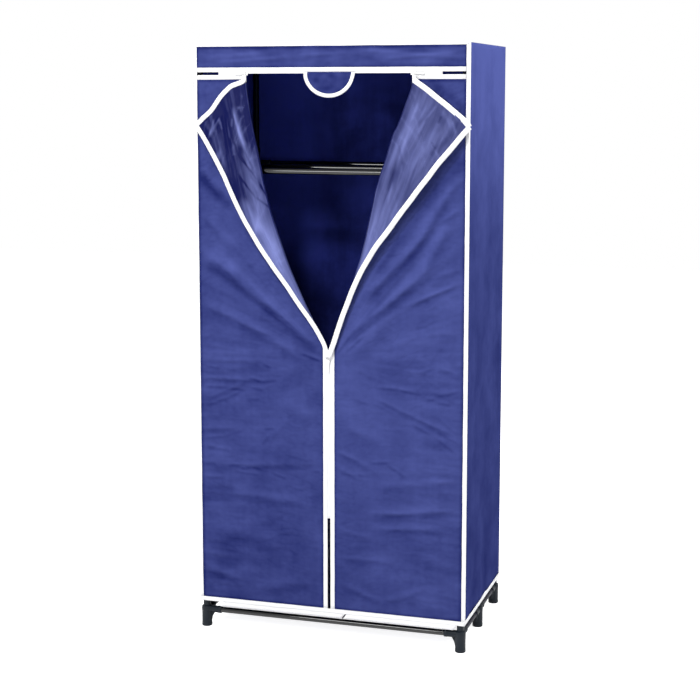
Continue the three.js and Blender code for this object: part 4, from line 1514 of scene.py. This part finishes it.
def tab_hang(z):
    """Below its seam the tab stands clear of the closed flaps, that pass behind it."""
    return hang_depth * ease(tab_top - z, 0, hang_ease)


def tab_outline(share, inset):
    """A point of the half round, from its left end to its right."""
    angle = pi + pi * share
    return (tab_half - inset) * cos(angle), (tab_drop - inset) * sin(angle)


def tab_place(u, v):
    across, down_to = tab_outline(u, tab_cloth_inset)
    x, z = tab_middle + across * v, tab_top + down_to * v
    bulge = tab_hang(z) + 1.2 * (1 - v * v) * ease(tab_top - z, 0, 20)
    wrinkle = uneven(x, z, 22, 3.9, 0.6)
    # Painted shading: the tab's tone is low, and paler where its wrinkles stand out to the front.
    return Vector((x, tab_y - bulge - 0.8 * wrinkle, z)), (x * MM, z * MM), 0.28 + 0.25 * wrinkle


def tab_rim_point(share):
    across, down_to = tab_outline(share, tab_rim_inset)
    z = tab_top + down_to
    return Vector((tab_middle + across, tab_y - 0.6 - tab_hang(z), z))


tab_bm = skin((48, 14), tab_place, to_front)
bmesh.ops.remove_doubles(tab_bm, verts=tab_bm.verts, dist=1e-3)
tab_cloth = add_piece(tab_bm, "tab_cloth", navy_cloth, body="tab", nodes=["tab"])
thicken(tab_cloth, cloth_wall)
tab_rim = [tab_rim_point(i / tab_rim_steps) for i in range(tab_rim_steps + 1)]
tab_edging = add_tape("tab_edging", ribbon(tab_rim, tab_rim_width, to_front), body="tab")

# %% [markdown]
# The hem is the same tape round the bottom of the cover, and at the front two further strips
# are wrapped under it, round the base rail.

# %% Hem and wraps
hem_x, hem_y = 375.8, 225.6
hem_z = hem_top - binding_width / 2
wrap_ends = ((-306, 45), (49, 356))
wrap_low, wrap_drop = 61, 14.5
wrap_front, wrap_tuck = -225.2, 2.0
wrap_slant = 11


def wrap_place(start, end):
    """A strip with slanting ends, tucked under the hem."""
    def place(u, v):
        x = start + (end - start) * u - wrap_slant * (1 - v)
        z = wrap_low + wrap_drop * v
        return Vector((x, wrap_front + wrap_tuck * (1 - v), z)), (x * MM, v)
    return place


hem_bm = bmesh.new()
for sign in (-1, 1):
    side_line = straight((sign * hem_x, -hem_y, hem_z), (sign * hem_x, hem_y, hem_z))
    long_line = straight((-hem_x, sign * hem_y, hem_z), (hem_x, sign * hem_y, hem_z))
    ribbon(side_line, binding_width, (sign, 0, 0), 0.4, 0.3, sign, hem_bm, edge_side=sign)
    ribbon(long_line, binding_width, (0, sign, 0), 0.4, 0.3, sign + 4, hem_bm, edge_side=sign)
for start, end in wrap_ends:
    skin((40, 3), wrap_place(start, end), to_front, hem_bm)
add_tape("hem_tape", hem_bm, ["hem_binding"])

# %% [markdown]
# A zip slider is a cast body over the teeth with two ears, a pin through the ears, and a pull
# that hangs on the pin by a round eye. All are enamelled white here. The centre one slides
# upright, and the two on the cross zip lie on their sides with the pulls outwards. Each is made
# upright at the origin and then turned and put in its place.

# %% Sizes of a slider
slider_place = {
    "centre": (0, 769, 0), "left": (-228.26, cross_z, pi / 2), "right": (228.26, cross_z, -pi / 2),
}
slider_y = -225.6
pin_y, pin_radius = -4.4, 0.9
ear_x, ear_wall, ear_foot = 4.4, 1.2, -1.2
eye_radius, eye_chamfer, eye_clearance = 2.1, 0.3, 0.3
eye_start, eye_low, eye_high = -3.5, 0.25, 6.75
pull_wall, pull_drop, pull_end = 1.4, 1.5, -30
pull_rounding = 0.3
pull_outline = [
    (-0.4, 2.4), (-3, 2.2), (-8, 1.9), (-15, 2.3), (-22, 3.2), (-26, 3.5), (-28.6, 3.0), (-30, 1.4),
]
to_right = (1, 0, 0)
print("sliders at", slider_place)


# %% Slider
def slider_body():
    bm = bmesh.new()
    rounded_block(bm, (-5, -2, -7), (5, -0.1, 7), 0.7)
    rounded_block(bm, (-3.6, -2.5, -6.2), (3.6, -1.5, 6.2), 0.4)
    ear_flat = eye_radius - eye_chamfer
    ear = [(0, 0), (ear_flat, 0), (eye_radius, eye_chamfer), (eye_radius, ear_wall - eye_chamfer),
           (ear_flat, ear_wall), (0, ear_wall)]
    for sign in (-1, 1):
        near, far = sign * ear_x - ear_wall / 2, sign * ear_x + ear_wall / 2
        turned(bm, ear, (near, pin_y, 0), to_right, 24)
        rounded_block(bm, (near, pin_y, -eye_radius), (far, ear_foot, eye_radius), 0.25)
    pin = [(0, 0), (pin_radius, 0), (pin_radius, 2 * ear_x), (0, 2 * ear_x)]
    turned(bm, pin, (-ear_x, pin_y, 0), to_right, 20)
    return bm


# %% Pull
def pull_body():
    bm = bmesh.new()
    bore, rim = pin_radius + eye_clearance, eye_radius - eye_chamfer
    eye = [(bore, eye_low), (rim, eye_low), (eye_radius, eye_low + eye_chamfer),
           (eye_radius, eye_high - eye_chamfer), (rim, eye_high), (bore, eye_high), (bore, eye_low)]
    turned(bm, eye, (eye_start, pin_y, 0), to_right, 24)
    down_right = [(half, max(z - pull_drop, pull_end)) for z, half in pull_outline]
    up_left = [(-x, z) for x, z in reversed(down_right)]
    part = plate(down_right + up_left, pin_y - pull_wall / 2, pull_wall)
    rims = [edge for edge in part.edges if abs(edge.verts[0].co.y - edge.verts[1].co.y) < 0.1]
    soften(part, rims, pull_rounding)
    return merge(bm, part)


# %% Sliders and pulls in place
for name, (x, z, turn) in slider_place.items():
    stand = Matrix.Translation((x, slider_y, z)) @ Matrix.Rotation(turn, 4, "Y")
    for kind, shape in (("slider", slider_body()), ("pull", pull_body())):
        shape.transform(stand)
        add_piece(shape, f"{kind}_{name}_casting", zip_metal, body=f"{kind}_{name}",
                  nodes=[f"{kind}_{name}"], sharp=35)
